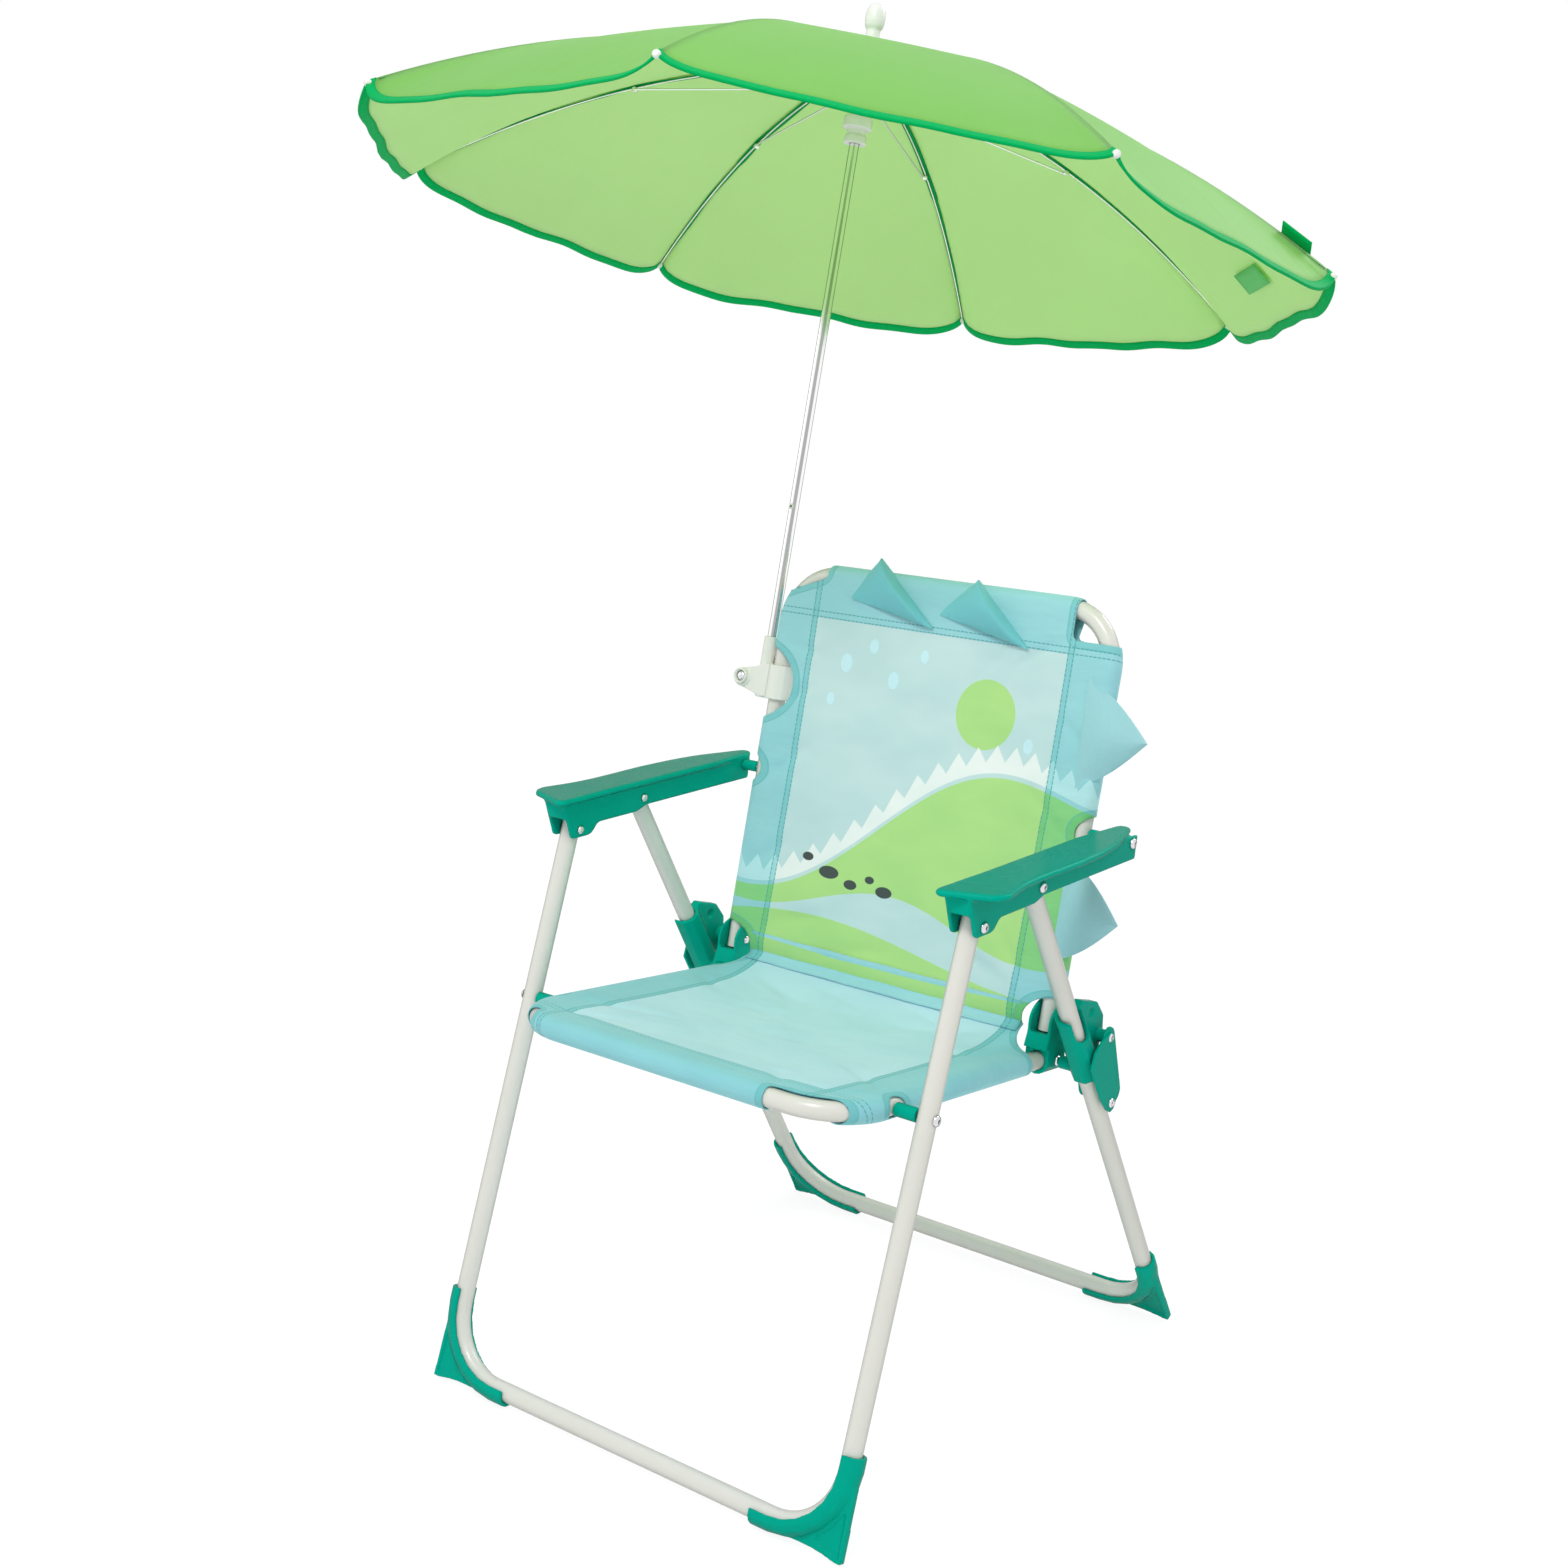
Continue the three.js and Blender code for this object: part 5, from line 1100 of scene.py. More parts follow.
# %% Sling cloth
def sling_cloth(name, ground, layers, hem_low, hem_high, printed):
    """Cloth whose colour is ground, and ground times layers where it lies double."""
    made, shader, graph = new_material(name, ground, 0.72, Sheen_Weight=0.25, Sheen_Roughness=0.4,
                                       Specular_IOR_Level=0.35)
    u, v = graph.uv()
    side = graph.math("ABSOLUTE", u)
    threads = add_group(graph, weave, Across=u, Along=v, Pitch=0.0012)
    colour = landscape(graph, u, v, (*ground, 1)) if printed else (*ground, 1)
    double, triple, rim_line = layer_masks(graph, side, v, hem_low, hem_high)
    colour = graph.mix(double, colour, graph.tinted(colour, layers))
    colour = graph.mix(triple, colour, graph.tinted(colour, TRIPLE_TINT))
    colour = graph.mix(graph.times(rim_line, 0.45), colour, RIM_LINE)
    # Painted light and shade of the drape: the same slow noise as the bump darkens the colour in patches.
    drape = graph.noise(graph.vector(graph.times(u, 13.0), graph.times(v, 21.0)), 1.0)
    colour = graph.mix(graph.rise(drape, 0.35, 0.7), colour, graph.tinted(colour, DRAPE_SHADE_TINT))
    mask = stitch_mask(graph, side, u, v, hem_low, hem_high)
    colour = graph.mix(graph.times(mask, 0.75), colour, THREAD)
    colour = graph.tinted(colour, WEAVE_TINT, graph.times(threads.outputs["Shade"], 0.22))
    graph.link(colour, shader.inputs["Base Color"])
    pucker = graph.noise(graph.vector(graph.times(u, 30.0), graph.times(v, 150.0)), 1.0)
    crinkle = graph.times(pucker, graph.times(double, 0.22))
    height = graph.minus(graph.times(threads.outputs["Height"], 0.012), graph.times(mask, 0.05))
    height = graph.plus(height, graph.plus(crinkle, graph.times(drape, 1.6)))
    add_bump(graph, shader, height, 0.004, 0.7)
    return made


seat_cloth = sling_cloth("seat_polyester", SEAT_AQUA, (0.52, 0.80, 0.785), -0.026, None, False)
back_cloth = sling_cloth("back_polyester", BACK_AQUA, (0.57, 0.87, 0.93), None, 0.268, True)
print("sling nodes:", len(seat_cloth.node_tree.nodes), len(back_cloth.node_tree.nodes))

# %% Fin cloth
def fin_material(name, ground):
    made, shader, graph = new_material(name, ground, 0.7, Sheen_Weight=0.15, Specular_IOR_Level=0.25)
    u, v = graph.uv()
    threads = add_group(graph, weave, Across=u, Along=v, Pitch=0.0012)
    graph.link(shade_range(graph, threads.outputs["Shade"], ground, 0.93, 1.08), shader.inputs["Base Color"])
    add_bump(graph, shader, threads.outputs["Height"], 0.0002, 0.2)
    return made


# Painted shade: the top fins get a darker copy of the fin cloth.
fin_shaded = fin_material("fin_polyester_shaded", FIN_SHADED)
fin_pale = fin_material("fin_polyester_pale", FIN_PALE)
print("fins:", fin_shaded.name, fin_pale.name)

# %% [markdown]
# ## From the plan to the chair
# A point of the plan that lies past the tube's middle goes round it and back underneath, where the sleeve
# is sewn shut. Inside the frame the cloth hangs a few millimetres, with soft creases that start at the
# corners. A cloth simulation could find that hang, but the sling is stretched tight, so formulas do.

# %% Wrap a plan round a U of tube
SLEEVE = 8.6
WRAP = SLEEVE * math.pi


def wrap_round(s, t, edge, bend):
    """The place and height of a plan point on cloth wrapped outwards round a U, and its way past the tube."""
    a, b = np.abs(s) - SEAT_HALF + bend, t - edge + bend
    corner, side = (a > 0) & (b > 0), a > b
    reach = np.maximum(np.hypot(a, b), 1e-6)
    away = np.where(corner, reach, np.maximum(a, b)) - bend
    out_s = np.where(corner, a / reach, side * 1.0) * np.sign(s)
    out_t = np.where(corner, b / reach, 1.0 - side)
    around = np.clip(away / SLEEVE, 0, math.pi)
    back_run = np.maximum(away - WRAP, 0)
    move = SLEEVE * np.sin(around) - back_run - np.maximum(away, 0)
    under = -SLEEVE + (2 * SLEEVE - 4.8) * np.clip(back_run / 30, 0, 1) ** 1.3
    height = np.where(back_run > 0, under, SLEEVE * np.cos(around))
    return s + out_s * move, t + out_t * move, height, away


def bare_corner(way, edge, bend, side, s0, t0, inner, radius, slope=0.0):
    """Bares the tube at a corner, beyond s0 and t0 of the sewn piece, but not further in than inner."""
    def distance(s, t):
        x, y, _, away = wrap_round(s, way * t, edge, bend)
        x = side * x
        far = np.stack([s0 - x, t0 - slope * (x - s0) - y, inner - away]) + radius
        return np.linalg.norm(np.maximum(far, 0), axis=0) + np.minimum(far.max(axis=0), 0) - radius
    return distance


print("sleeve", SLEEVE, "mm round the tube's middle,", round(WRAP, 1), "mm of cloth to wrap it")

# %% How the cloth hangs
DIP = 7
REAR_RISE, RISE_FROM, RISE_RUN = 13.5, 148, 52
CLOTH_HALF, CLOTH_STEP, CLOTH_THICK = 206, 2.5, 0.9


def sag(s, t, low, run, away):
    """How far the stretched cloth sinks between its tubes, from low over a run."""
    free = np.clip(-away / 12, 0, 1)
    across = np.clip(np.abs(s) / SEAT_HALF, 0, 1)
    return DIP * (1 - across ** 2) * np.sin(math.pi * np.clip((t + low) / run, 0, 1)) * free


def creased(s, t, creases, away):
    """Soft creases, which fade out on the sleeves."""
    return sum(fold_line(s, t, *crease) for crease in creases) * np.exp(-np.maximum(away + 2, 0) / 6)


print("a sheet 300 mm long hangs", round(float(sag(0, 150, 0, 300, -40)), 1), "mm in its middle")


# %% [markdown]
# ## Seat and back sheets
# The seat's cloth is wrapped round the front and both sides of its tube, and the back's round the top and
# both sides. Notches leave room for the legs, the clamp and the connectors. A sheet could be pulled into
# shape by hand, but here it is one surface, a list of creases and a list of cuts, easy to shift one by one.

# %% Seat cloth
def seat_surface(s, t):
    x, y, height, away = wrap_round(s, -t, SEAT_FRONT, SEAT_BEND)
    rise = REAR_RISE * np.clip((t - RISE_FROM) / RISE_RUN, 0, 1) ** 2 * np.clip(-away / 18, 0, 1)
    dip = sag(s, t, SEAT_FRONT, 254, away)
    return np.stack([x, -y, height - dip + rise + creased(s, t, SEAT_CREASES, away)], 1)


SEAT_CREASES = [
    ((-146, 0), (-60, 40), 5, 1.5), ((146, 0), (70, 52), 5, 1.5), ((-140, -38), (-70, -4), 5, 1.6),
    ((96, -50), (60, -6), 5, 1.5), ((-110, 180), (-40, 150), 6, 1.8), ((110, 182), (36, 156), 6, 1.8),
    ((-60, 186), (10, 168), 4, 1.2), ((20, 190), (90, 172), 4, 1.2), ((-30, 60), (60, 90), 9, 1.1),
    ((-90, 110), (-10, 120), 8, 1.0), ((140, 150), (92, 120), 5, 1.4), ((-140, 150), (-92, 118), 5, 1.4),
]
seat_cuts = [
    bare_corner(-1, SEAT_FRONT, SEAT_BEND, 1, 89, 40, -2, 4),
    bare_corner(-1, SEAT_FRONT, SEAT_BEND, -1, 129, 42, -1, 3),
    round_cut(156, 200, 27, 27), round_cut(-156, 200, 27, 20),
    corner_cut(150, 172, 1, 1, 3), corner_cut(-150, 181, -1, 1, 3),
    round_cut(162, 0, 10, 9.5), round_cut(-162, 0, 10, 9.5),
]
seat_piece = cloth("seat_sling_cloth", (-CLOTH_HALF, CLOTH_HALF), (-106, 200), CLOTH_STEP, seat_cuts,
                   seat_surface, SEAT, CLOTH_THICK, seat_cloth)
dress(seat_piece, "seat", "seat_cloth", "seat_sling")
print("seat cloth area", round(seat_piece["flat_area"], 4), "m2")

# %% Back cloth
def back_surface(s, t):
    x, z, height, away = wrap_round(s, t, BACK_TOP, BACK_BEND)
    front = height - sag(s, t, 8, 311, away) + creased(s, t, BACK_CREASES, away)
    lift = 4.0 * np.clip((8 - t) / 16, 0, 1) ** 2
    return np.stack([x, -front + lift, z], 1)


BACK_CREASES = [
    ((-148, 128), (-100, 170), 4, 1.2), ((148, 128), (96, 168), 4, 1.4), ((-148, 190), (-108, 214), 4, 1.4),
    ((-148, 248), (-100, 236), 4, 1.3), ((-146, 60), (-104, 92), 5, 1.3), ((146, 58), (102, 96), 5, 1.5),
    ((-120, 18), (-50, 40), 6, 1.8), ((118, 16), (44, 44), 6, 1.8), ((-60, 8), (10, 22), 5, 1.1),
    ((148, 200), (112, 226), 4, 1.2), ((-104, 300), (-60, 262), 4, 1.6), ((112, 280), (66, 250), 4, 1.8),
    ((128, 20), (96, 60), 4, 1.4), ((70, 276), (40, 240), 5, 1.0), ((-16, 275), (-30, 240), 5, 0.9),
]
back_cuts = [
    bare_corner(1, BACK_TOP, BACK_BEND, 1, 117, 279, -99, 5),
    bare_corner(1, BACK_TOP, BACK_BEND, -1, 112, 300, -99, 3, 0.378),
    round_cut(156, -2, 27, 20), round_cut(-156, -2, 27, 17),
    corner_cut(150, 17, 1, -1, 4), corner_cut(-150, 14, -1, -1, 4),
    round_cut(166, 140.5, 19, 13.5), round_cut(-166, 140.5, 19, 13.5),
    round_cut(-168, 211, 38, 31),
]
back_piece = cloth("back_sling_cloth", (-CLOTH_HALF, CLOTH_HALF), (-6, 360), CLOTH_STEP, back_cuts,
                   back_surface, BACK, CLOTH_THICK, back_cloth)
dress(back_piece, "back", "back_cloth", "back_sling")
print("back cloth area", round(back_piece["flat_area"], 4), "m2")

# %% [markdown]
# ## The crease between seat and back
# The real sling is one piece of cloth, sewn across at the hinge. Here the seat and the back turn on their
# own bodies, so a narrow strip joins them.

# %% Crease strip
def crease_strip(rows=8, columns=60, half=128.6, start=190):
    """A strip on one smooth curve, from the seat's rear edge to the back's foot."""
    climb = REAR_RISE * ((start - RISE_FROM) / RISE_RUN) ** 2
    curve = [SEAT @ Vector((0, start, SLEEVE + climb)), SEAT @ Vector((0, 200, SLEEVE + 13.3)),
             BACK @ Vector((0, -SLEEVE + 3.4, -3)), BACK @ Vector((0, -SLEEVE + 0.4, 9))]
    a, b, c, d = [Vector((p.y, p.z)) for p in curve]
    points, uvs = [], []
    for j in range(rows + 1):
        t = j / rows
        p = a * (1 - t) ** 3 + b * 3 * t * (1 - t) ** 2 + c * 3 * t * t * (1 - t) + d * t ** 3
        for i in range(columns + 1):
            x = (i / columns * 2 - 1) * half
            ripple = 0.0002 * math.sin(x * 0.11 + 1)
            points.append((x / 1000 + MIDDLE_X / 1000, p.x - 0.0004, p.y + 0.0008 + ripple))
            uvs.append((x / 1000, 0.176 + 0.02 * t))
    faces = grid_faces(rows, columns)
    return make("sling_crease", points, faces, Matrix.Identity(4), uvs, seat_cloth, sharp=180)


crease_piece = crease_strip()
thicken(crease_piece, CLOTH_THICK)
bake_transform(crease_piece)
print("crease strip faces:", len(crease_piece.data.polygons))

# %% [markdown]
# ## Cloth fins
# Puffed flaps of the same cloth stand on the top hem and on the right side sleeve. Each is a folded
# triangle, sewn down along its base. The top ones swell towards their right edge and end there in a sharp
# crease, and the side ones swell in the middle and have full, rounded edges.

# %% Fins
def fin(name, base_a, base_b, peak, puff, skew, belly, seed, material, rows=18, columns=26):
    """A puffed triangle: skew moves its ridge towards base_b, belly rounds its two free edges."""
    base_a, base_b, peak = Vector(base_a), Vector(base_b), Vector(peak)
    normal = (base_b - base_a).cross(peak - base_a).normalized()
    along = (base_b - base_a).normalized()
    points, uvs = [], []
    for j in range(rows + 1):
        v = j / rows
        swell = math.sin(math.pi * min(1, v * 0.96 + 0.02)) ** 0.7
        for i in range(columns + 1):
            q = i / columns
            p = base_a * (1 - v) * (1 - q) + base_b * (1 - v) * q + peak * v
            p += along * (q * 2 - 1) * belly * math.sin(math.pi * v)
            if q < skew:
                ridge = math.sin(math.pi / 2 * q / skew) ** 0.9
            else:
                ridge = math.cos(math.pi / 2 * (q - skew) / (1 - skew))
            fold = 0.5 * math.sin(9 * q + 5 * v + seed) * q * (1 - q) * 4 * v * (1 - v)
            points.append(p + normal * (puff * swell * ridge + fold))
            uvs.append((0.2 + q * 0.06, 0.4 + v * 0.05))
    across, count = columns + 1, len(points)
    faces = grid_faces(rows, columns)
    faces += [(count + d, count + c, count + b, count + a) for a, b, c, d in faces]
    points += [p - normal for p in points]
    uvs += uvs
    rim = list(range(across)) + [j * across + columns for j in range(1, rows + 1)]
    rim += [j * across for j in range(rows - 1, 0, -1)]
    faces += [(b, a, count + a, count + b) for a, b in zip(rim, rim[1:] + rim[:1])]
    obj = make(name, points, faces, BACK, uvs, material, sharp=180)
    tidy = bmesh.new()
    tidy.from_mesh(obj.data)
    bmesh.ops.remove_doubles(tidy, verts=tidy.verts, dist=1e-6)
    tidy.to_mesh(obj.data)
    tidy.free()
    obj.data.set_sharp_from_angle(angle=math.radians(55))
    return dress(obj, "back", "back_cloth")


fins = [
    fin("top_fin_left", (-86, -8.4, 287), (-5, -8.4, 272), (-64, -7, 321), 13, 0.84, 1.5, 0.3, fin_shaded),
    fin("top_fin_right", (-1, -8.4, 284), (82, -8.4, 267), (28, -7, 314), 13, 0.84, 1.5, 1.7, fin_shaded),
    fin("side_fin_upper", (137, -8.4, 254), (141, -8.4, 172), (190, -3, 213), 8, 0.52, 4.5, 2.2, fin_pale),
    fin("side_fin_lower", (146, -8.4, 122), (146, -8.4, 44), (192, -3, 80), 8, 0.52, 5.0, 3.1, fin_pale),
]
for piece in fins[2:]:
    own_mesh(piece)
print("fins:", len(fins))

# %% [markdown]
# ## Parasol hardware
# The pole is plated tube, and the runner, hub and cap are turned white mouldings. All share one axis, so
# a profile spun about the pole gives each its true form, with small rounded edges.

# %% Pole and catch
POLE_LOW, POLE_HIGH = 199, 734
POLE_R, POLE_BORE = 4.0, 3.2
pole_profile = [(POLE_LOW, POLE_BORE), (POLE_LOW, POLE_R), (POLE_HIGH, POLE_R), (POLE_HIGH, POLE_BORE),
                (POLE_LOW, POLE_BORE)]
pole_piece = lathe("pole_tube", rounded(pole_profile, 0.3, 2), POLE, 32, material=chrome)
dress(pole_piece, "parasol", "pole", "parasol_pole")
catch = POLE @ Matrix.Translation((0, -3.9, 354)) @ Matrix.Rotation(math.pi / 2, 4, "X")
ring_profile = [(-0.4, 1.0), (-0.4, 2.5), (0.35, 2.2), (0.35, 1.0), (-0.4, 1.0)]
ring = lathe("catch_ring", ring_profile, catch, 24, material=cream_plastic)
dress(ring, "parasol", "parasol_plastic")
# Painted shade: a thin near-black disc on the ring stands in for the shaded hole of the catch.
hole = lathe("catch_hole_shade", [(0.1, 0), (0.1, 1.3), (0.25, 1.3), (0.25, 0)], catch, 20, material=bore_painted_shade)
dress(hole, "parasol", "parasol_plastic")
print("pole", POLE_HIGH - POLE_LOW, "mm long")

# %% Runner, hub and cap
RUNNER = [(649, 4.5), (649, 9.4), (654.5, 9.2), (656, 7.5), (660.5, 7.5), (661, 12), (669.8, 11.7),
          (670.3, 7.6), (688.6, 7.4), (689, 12.9), (695, 12.9), (695, 4.5), (649, 4.5)]
HUB = [(700, 4.4), (700, 6.4), (703, 6.6), (703, 12.9), (709, 12.9), (709, 4.4), (700, 4.4)]
CAP = [(718, 4.4), (718, 10.9), (721.5, 9.8), (726, 7.4), (731, 6.0), (740, 5.6), (743, 7.4), (747, 8.15),
       (751, 8.2), (756, 7.6), (760, 5.6), (761.6, 2.6), (762, 0), (735, 0), (735, 4.4), (718, 4.4)]
for kind, body, profile, edge in (("runner", "runner", RUNNER, 0.9), ("hub", "parasol", HUB, 0.8),
                                  ("cap", "parasol", CAP, 1.2)):
    piece = lathe(f"{kind}_turned", rounded(profile, edge), POLE, 44, material=white_plastic)
    dress(piece, body, "parasol_plastic", f"parasol_{kind}")
    print(kind, "faces:", len(piece.data.polygons))

# %% [markdown]
# ## Ribs and stretchers
# Eight spring-steel ribs hinge in the hub and eight thin stretchers push them up from the runner. A rib
# follows the canopy from below and ends in a white ball. Curves would do, but swept rods share the
# canopy's own height formula, so cloth and wire can't drift apart.

# %% Rib shapes
RIB_PIVOT, RIB_PIVOT_H = 9.0, 706.0
TIP_R, TIP_H, RISE = 392.0, 590.0, 121.7
STRETCH_R, STRETCH_OFF, RUNNER_H = 200.0, 2.5, 692.0
FIRST_RIB = math.radians(-117.3)


def canopy_height(r):
    return TIP_H + RISE * (1 - (r / TIP_R) ** 2)


LIFTS = (6, 8, -1, -6, 0, 0, 1, 11)
SAGS = (1, 0.55, 1, 1, 1, 1, 0.8, 1)


def lifted(r, a, k):
    """How far the tips of ribs k and k + 1 are bent up, a of the way from one to the next."""
    return (LIFTS[k] * (1 - a) + LIFTS[(k + 1) % 8] * a) * (r / TIP_R) ** 2


def rib_height(r, k):
    under = canopy_height(r) - 3.0 + lifted(r, 0, k)
    start = canopy_height(RIB_PIVOT) - 3.0
    return under + (RIB_PIVOT_H - start) * max(0.0, 1 - (r - RIB_PIVOT) / (RIB_PIVOT * 8))


rib_matrices = [POLE @ Matrix.Rotation(FIRST_RIB + math.tau * k / 8, 4, "Z") for k in range(8)]
print("rib ends:", [round(rib_height(TIP_R, k)) for k in range(8)], "mm up the pole")

# %% Make the ribs and stretchers
RIB_WIRE_R, STRETCHER_WIRE_R, WIRE_SIDES = 0.7, 0.85, 10
BALL = [(-3.2, 0), (-3.0, 1.6), (-1.6, 2.0), (-0.4, 2.3), (1.2, 3.0), (3.0, 2.9), (4.4, 1.9), (4.9, 0)]
SADDLE = [(-1.9, 0), (-1.9, 2.3), (1.9, 2.3), (1.9, 0)]
for k, matrix in enumerate(rib_matrices):
    rib, stretcher = f"rib_{k + 1}", f"stretcher_{k + 1}"
    lug_h = rib_height(STRETCH_R, k) - 1.7
    line = [Vector((r, 0, rib_height(r, k))) for r in np.linspace(RIB_PIVOT, TIP_R, 34)]
    rod = tube(f"{rib}_wire", line, matrix, RIB_WIRE_R, sides=WIRE_SIDES, material=wire_steel)
    dress(rod, rib, "parasol_wire", rib)
    tip = matrix @ Matrix.Translation((TIP_R, 0, rib_height(TIP_R, k)))
    dress(lathe(f"{rib}_ball", BALL, tip, 20, "X", white_plastic), rib, "parasol_plastic")
    lug = matrix @ Matrix.Translation((STRETCH_R, 0.4, lug_h + 0.4))
    dress(lathe(f"{rib}_saddle", rounded(SADDLE, 0.5), lug, 18, "Y", wire_steel), rib, "parasol_wire")
    ends = [Vector((RIB_PIVOT, STRETCH_OFF, RUNNER_H)), Vector((STRETCH_R, STRETCH_OFF, lug_h))]
    brace = tube(f"{stretcher}_wire", ends, matrix, STRETCHER_WIRE_R, sides=WIRE_SIDES, material=wire_steel)
    dress(brace, stretcher, "parasol_wire", stretcher)
print("ribs and stretchers:", 2 * len(rib_matrices))

# %% [markdown]
# ## Canopy cloth
# The canopy is thin woven cloth. It glows in the light that falls through it, so its inside looks paler than
# its outside. Transmission would treat it as a clear solid. A Translucent BSDF, mixed in by a share, lets
# light through a thin sheet from behind, and costs far less time. Most of the inside's paleness is painted
# glow, though: its base colour is far paler than the outside's.

# %% Canopy materials
def canopy_cloth(name, base, through, share, sheen=0.15):
    """Thin cloth: a share of its light comes through from behind, in the colour through."""
    made, shader, graph = new_material(name, base, 0.6, Sheen_Weight=sheen, Specular_IOR_Level=2 * sheen)
    u, v = graph.uv()
    threads = add_group(graph, weave, Across=u, Along=v, Pitch=0.0009)
    colour = shade_range(graph, graph.noise(graph.place(), 9.0), base, 0.94, 1.06)
    colour = graph.tinted(colour, (0.94, 0.98, 0.92), graph.times(threads.outputs["Shade"], 0.15))
    graph.link(colour, shader.inputs["Base Color"])
    ripples = graph.noise(graph.vector(graph.times(u, 60.0), graph.times(v, 9.0)), 1.0)
    height = graph.plus(graph.times(threads.outputs["Height"], 0.03), ripples)
    add_bump(graph, shader, height, 0.004, 0.35)
    thin = graph.tree.nodes.new("ShaderNodeBsdfTranslucent")
    thin.inputs["Color"].default_value = (*through, 1)
    both = graph.tree.nodes.new("ShaderNodeMixShader")
    both.inputs[0].default_value = share
    graph.tree.links.new(shader.outputs[0], both.inputs[1])
    graph.tree.links.new(thin.outputs[0], both.inputs[2])
    graph.tree.links.new(both.outputs[0], graph.tree.nodes["Material Output"].inputs["Surface"])
    return made


outside_cloth = canopy_cloth("canopy_outside", (0.215, 0.505, 0.118), (0.50, 0.88, 0.28), 0.35)
# Painted glow: the inside's base is far paler than the outside's, standing in for light shining through.
inside_cloth_painted_glow = canopy_cloth("canopy_inside_painted_glow", (0.68, 0.92, 0.46), (0.77, 0.96, 0.50), 0.45)
binding = canopy_cloth("canopy_binding", (0.0, 0.47, 0.12), (0.0, 0.5, 0.12), 0.15, 0.02)
tape_cloth = canopy_cloth("canopy_tape", (0.0, 0.33, 0.07), (0.0, 0.45, 0.1), 0.15, 0.02)
strap_cloth = canopy_cloth("canopy_strap", (0.20, 0.70, 0.24), (0.3, 0.8, 0.3), 0.3, 0.02)
print("canopy cloths:", [m.name for m in bpy.data.materials if m.name.startswith("canopy")])

# %% [markdown]
# ## The canopy
# Eight triangular gores are sewn edge to edge. A gore hangs straight between its ribs, so it lies a
# little lower in the middle than at the seams, and its bound hem bows outwards past the line from tip to
# tip. One formula gives every point of that surface. Each gore rides on its rib.

# %% The canopy's surface
GORE_START = 5.5
HEM_FROM = 0.74


def gore_point(a, v, k):
    """a runs 0 to 1 from rib k to the next, v from the middle to the hem."""
    half = math.pi / 8
    off = abs(a - 0.5) * 2
    r0 = GORE_START + (TIP_R + 1 - GORE_START) * v
    chord = math.cos(half) / math.cos(half * off)
    r = r0 * (1 - v * v * (1 - chord))
    swell = SAGS[k] * (1 - off ** 7) ** 0.65
    hem = max(0.0, (v - HEM_FROM) / (1 - HEM_FROM))
    wave = 0.8 * math.sin(a * math.tau * 2 + k * 2.1) + 0.5 * math.sin(a * math.tau * 4.5 + k)
    r += (8.0 + wave) * swell * hem ** 2
    droop = (13.0 * v ** 4 + (8.0 + 1.2 * wave) * hem ** 1.5) * swell
    hollow = 5.0 * (1 - off ** 2) * math.sin(math.pi * min(1, v * 1.1)) * v
    z = canopy_height(r0) + lifted(r0, a, k) - droop - hollow
    angle = half * 2 * a
    return Vector((r * math.cos(angle), r * math.sin(angle), z))


def strip_mesh(name, rows, matrix, material, uvs):
    """A sheet through rows of points, wound so that its face is up."""
    across = len(rows[0])
    points = [p for row in rows for p in row]
    faces = [(j * across + i, (j + 1) * across + i, (j + 1) * across + i + 1, j * across + i + 1)
             for j in range(len(rows) - 1) for i in range(across - 1)]
    return make(name, points, faces, matrix, uvs, material, sharp=180)


def crowded(count, power):
    """Shares from 0 to 1 that lie closer together at both ends."""
    ways = [1 - 2 * i / count for i in range(count + 1)]
    return [0.5 - 0.5 * math.copysign(abs(way) ** power, way) for way in ways]


def gather(piece):
    """Gives a piece of cloth its own copy of its mesh."""
    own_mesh(piece)


print("hem middle", round(gore_point(0.5, 1, 2).xy.length), "mm out, rib tip", round(TIP_R), "mm")

# %% Gores
GORE_SHARES, GORE_RINGS = crowded(28, 0.7), 32


def gore(k):
    """One panel of the canopy, its inside paler than its outside by painted glow."""
    levels = [j / GORE_RINGS for j in range(GORE_RINGS + 1)]
    rows = [[gore_point(a, v, k) for a in GORE_SHARES] for v in levels]
    uvs = [((a - 0.5) * 0.3 * v, 0.39 * v) for v in levels for a in GORE_SHARES]
    piece = strip_mesh(f"gore_{k + 1}", rows, rib_matrices[k], outside_cloth, uvs)
    piece["area"] = sum(face.area for face in piece.data.polygons)
    piece.data.materials.append(inside_cloth_painted_glow)
    thicken(piece, 0.7, inside=1)
    dress(piece, f"rib_{k + 1}", "canopy_cloth", "parasol_canopy")
    gather(piece)
    return piece


print("gore grid:", len(GORE_SHARES), "by", GORE_RINGS + 1)

# %% [markdown]
# ## Hems and seams
# A darker binding is folded over each hem, and a tape under each seam ties the cloth to its rib. Both
# follow the canopy's own surface, a little below it, so they can't come off it.

# %% Hems and seams
HEM_SHARES = crowded(80, 0.6)


def bound_hem(k):
    """The flat binding that is folded over a gore's hem."""
    levels = (0.988, 0.994, 1.0, 1.004)
    rows = [[gore_point(a, v, k) + Vector((0, 0, -0.2)) for a in HEM_SHARES] for v in levels]
    uvs = [(a * 0.3, 0.385 + 0.005 * q) for q in range(len(levels)) for a in HEM_SHARES]
    piece = strip_mesh(f"hem_{k + 1}", rows, rib_matrices[k], binding, uvs)
    thicken(piece, 1.8, 0.0)
    dress(piece, f"rib_{k + 1}", "canopy_cloth")
    gather(piece)
    return piece


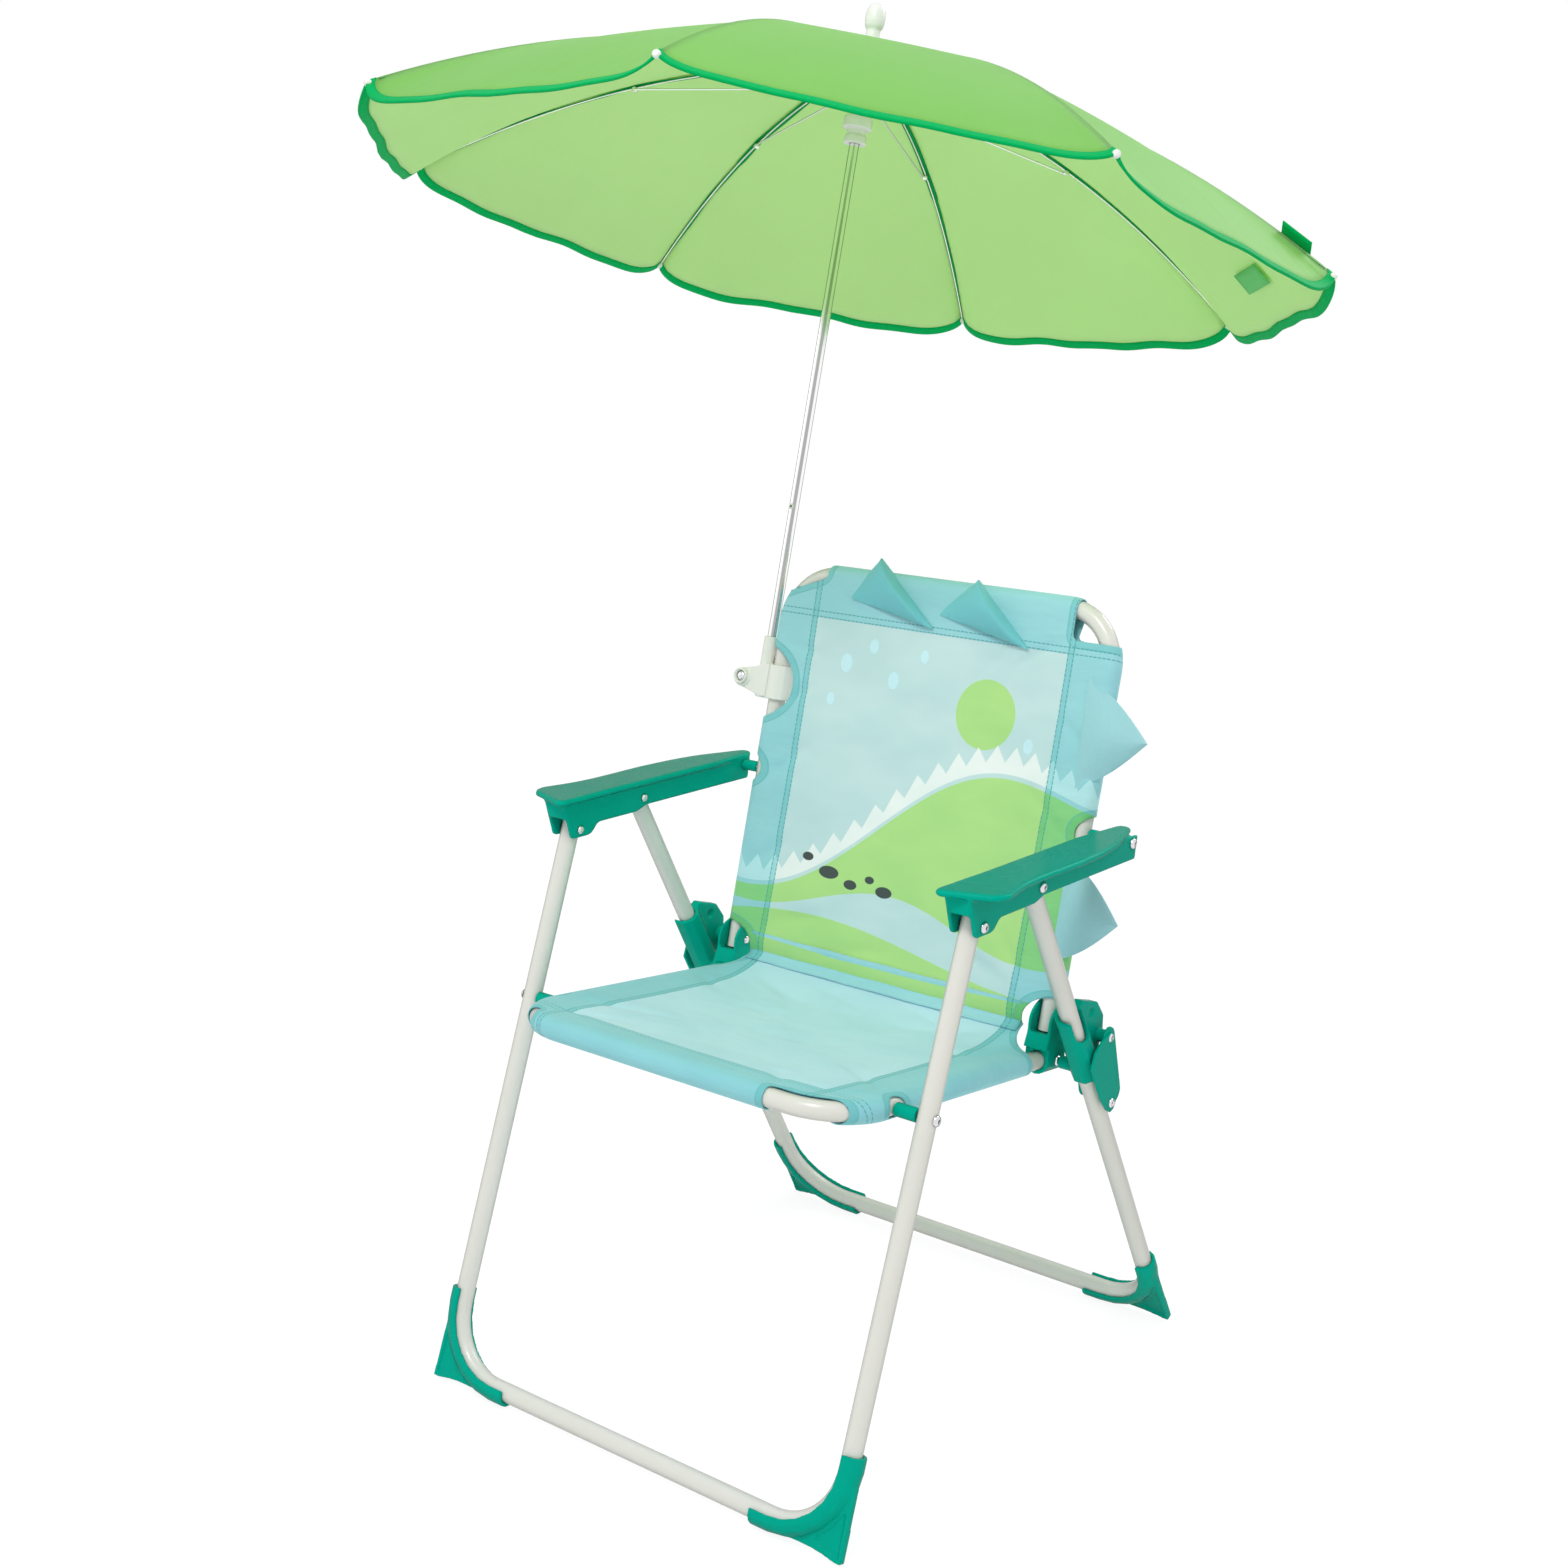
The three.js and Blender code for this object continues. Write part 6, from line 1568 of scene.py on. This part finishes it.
def seam_tape(k):
    """The tape under a seam, tied to the rib at four places and slack between them."""
    rows = []
    for r in np.linspace(14, TIP_R - 5, 44):
        width = 3.0 if r < 0.6 * TIP_R else 2.0
        slack = abs(math.sin(4 * math.pi * r / TIP_R))
        height = canopy_height(r) + lifted(r, 0, k) - 1.5 - 1.2 * slack
        rows.append([Vector((r, -0.9 * slack + q * width, height)) for q in (1, 0.33, -0.33, -1)])
    uvs = [(p.y / 1000, p.x / 1000) for row in rows for p in row]
    piece = strip_mesh(f"seam_{k + 1}", rows, rib_matrices[k], tape_cloth, uvs)
    thicken(piece, 0.5, 0.0)
    return dress(piece, f"rib_{k + 1}", "canopy_cloth")


print("points along a hem:", len(HEM_SHARES))

# %% Sew the canopy
gores, hems, seams = [], [], []
for k in range(8):
    gores.append(gore(k))
    hems.append(bound_hem(k))
    seams.append(seam_tape(k))
print("gore area", round(gores[0]["area"], 4), "m2 each")

# %% [markdown]
# ## The closing strap
# A strap holds the closed parasol together. Open, it shows as a patch of webbing under one gore, where it
# is sewn on, and as a small tab that stands on the outside near the hem.

# %% Strap
STRAP_GORE = 3


def strap_piece(name, a, v, width, length, down_hem, off, material):
    """A small flat piece of webbing on a gore, off its face; down_hem lays its length towards the hem."""
    at = gore_point(a, v, STRAP_GORE)
    down = (gore_point(a, v + 0.02, STRAP_GORE) - at).normalized()
    across = (gore_point(a + 0.02, v, STRAP_GORE) - at).normalized()
    normal = across.cross(down).normalized()
    normal = normal if normal.z > 0 else -normal
    run, side = (down, across) if down_hem else (across, down)
    rows = []
    for i in range(7):
        start = at + run * length * (i / 6 - 0.5)
        rows.append([start + side * width * (j / 3 - 0.5) + normal * off for j in range(4)])
    uvs = [(j * 0.003, i * 0.002) for i in range(7) for j in range(4)]
    piece = strip_mesh(name, rows, rib_matrices[STRAP_GORE], material, uvs)
    thicken(piece, 1.2, 0.0)
    dress(piece, f"rib_{STRAP_GORE + 1}", "canopy_cloth")
    gather(piece)
    return piece


straps = [strap_piece("strap_patch", 0.40, 0.90, 20, 62, False, -3.6, strap_cloth),
          strap_piece("strap_tab", 0.0, 0.914, 12, 28, True, 4.6, binding)]
print("strap pieces:", [piece.name for piece in straps])

# %% [markdown]
# ## Cloth areas
# The seat and back keep the area of their flat plan, and each gore its area, as a property on the piece.

print("sheets:", 2 + len(gores))

# %% [markdown]
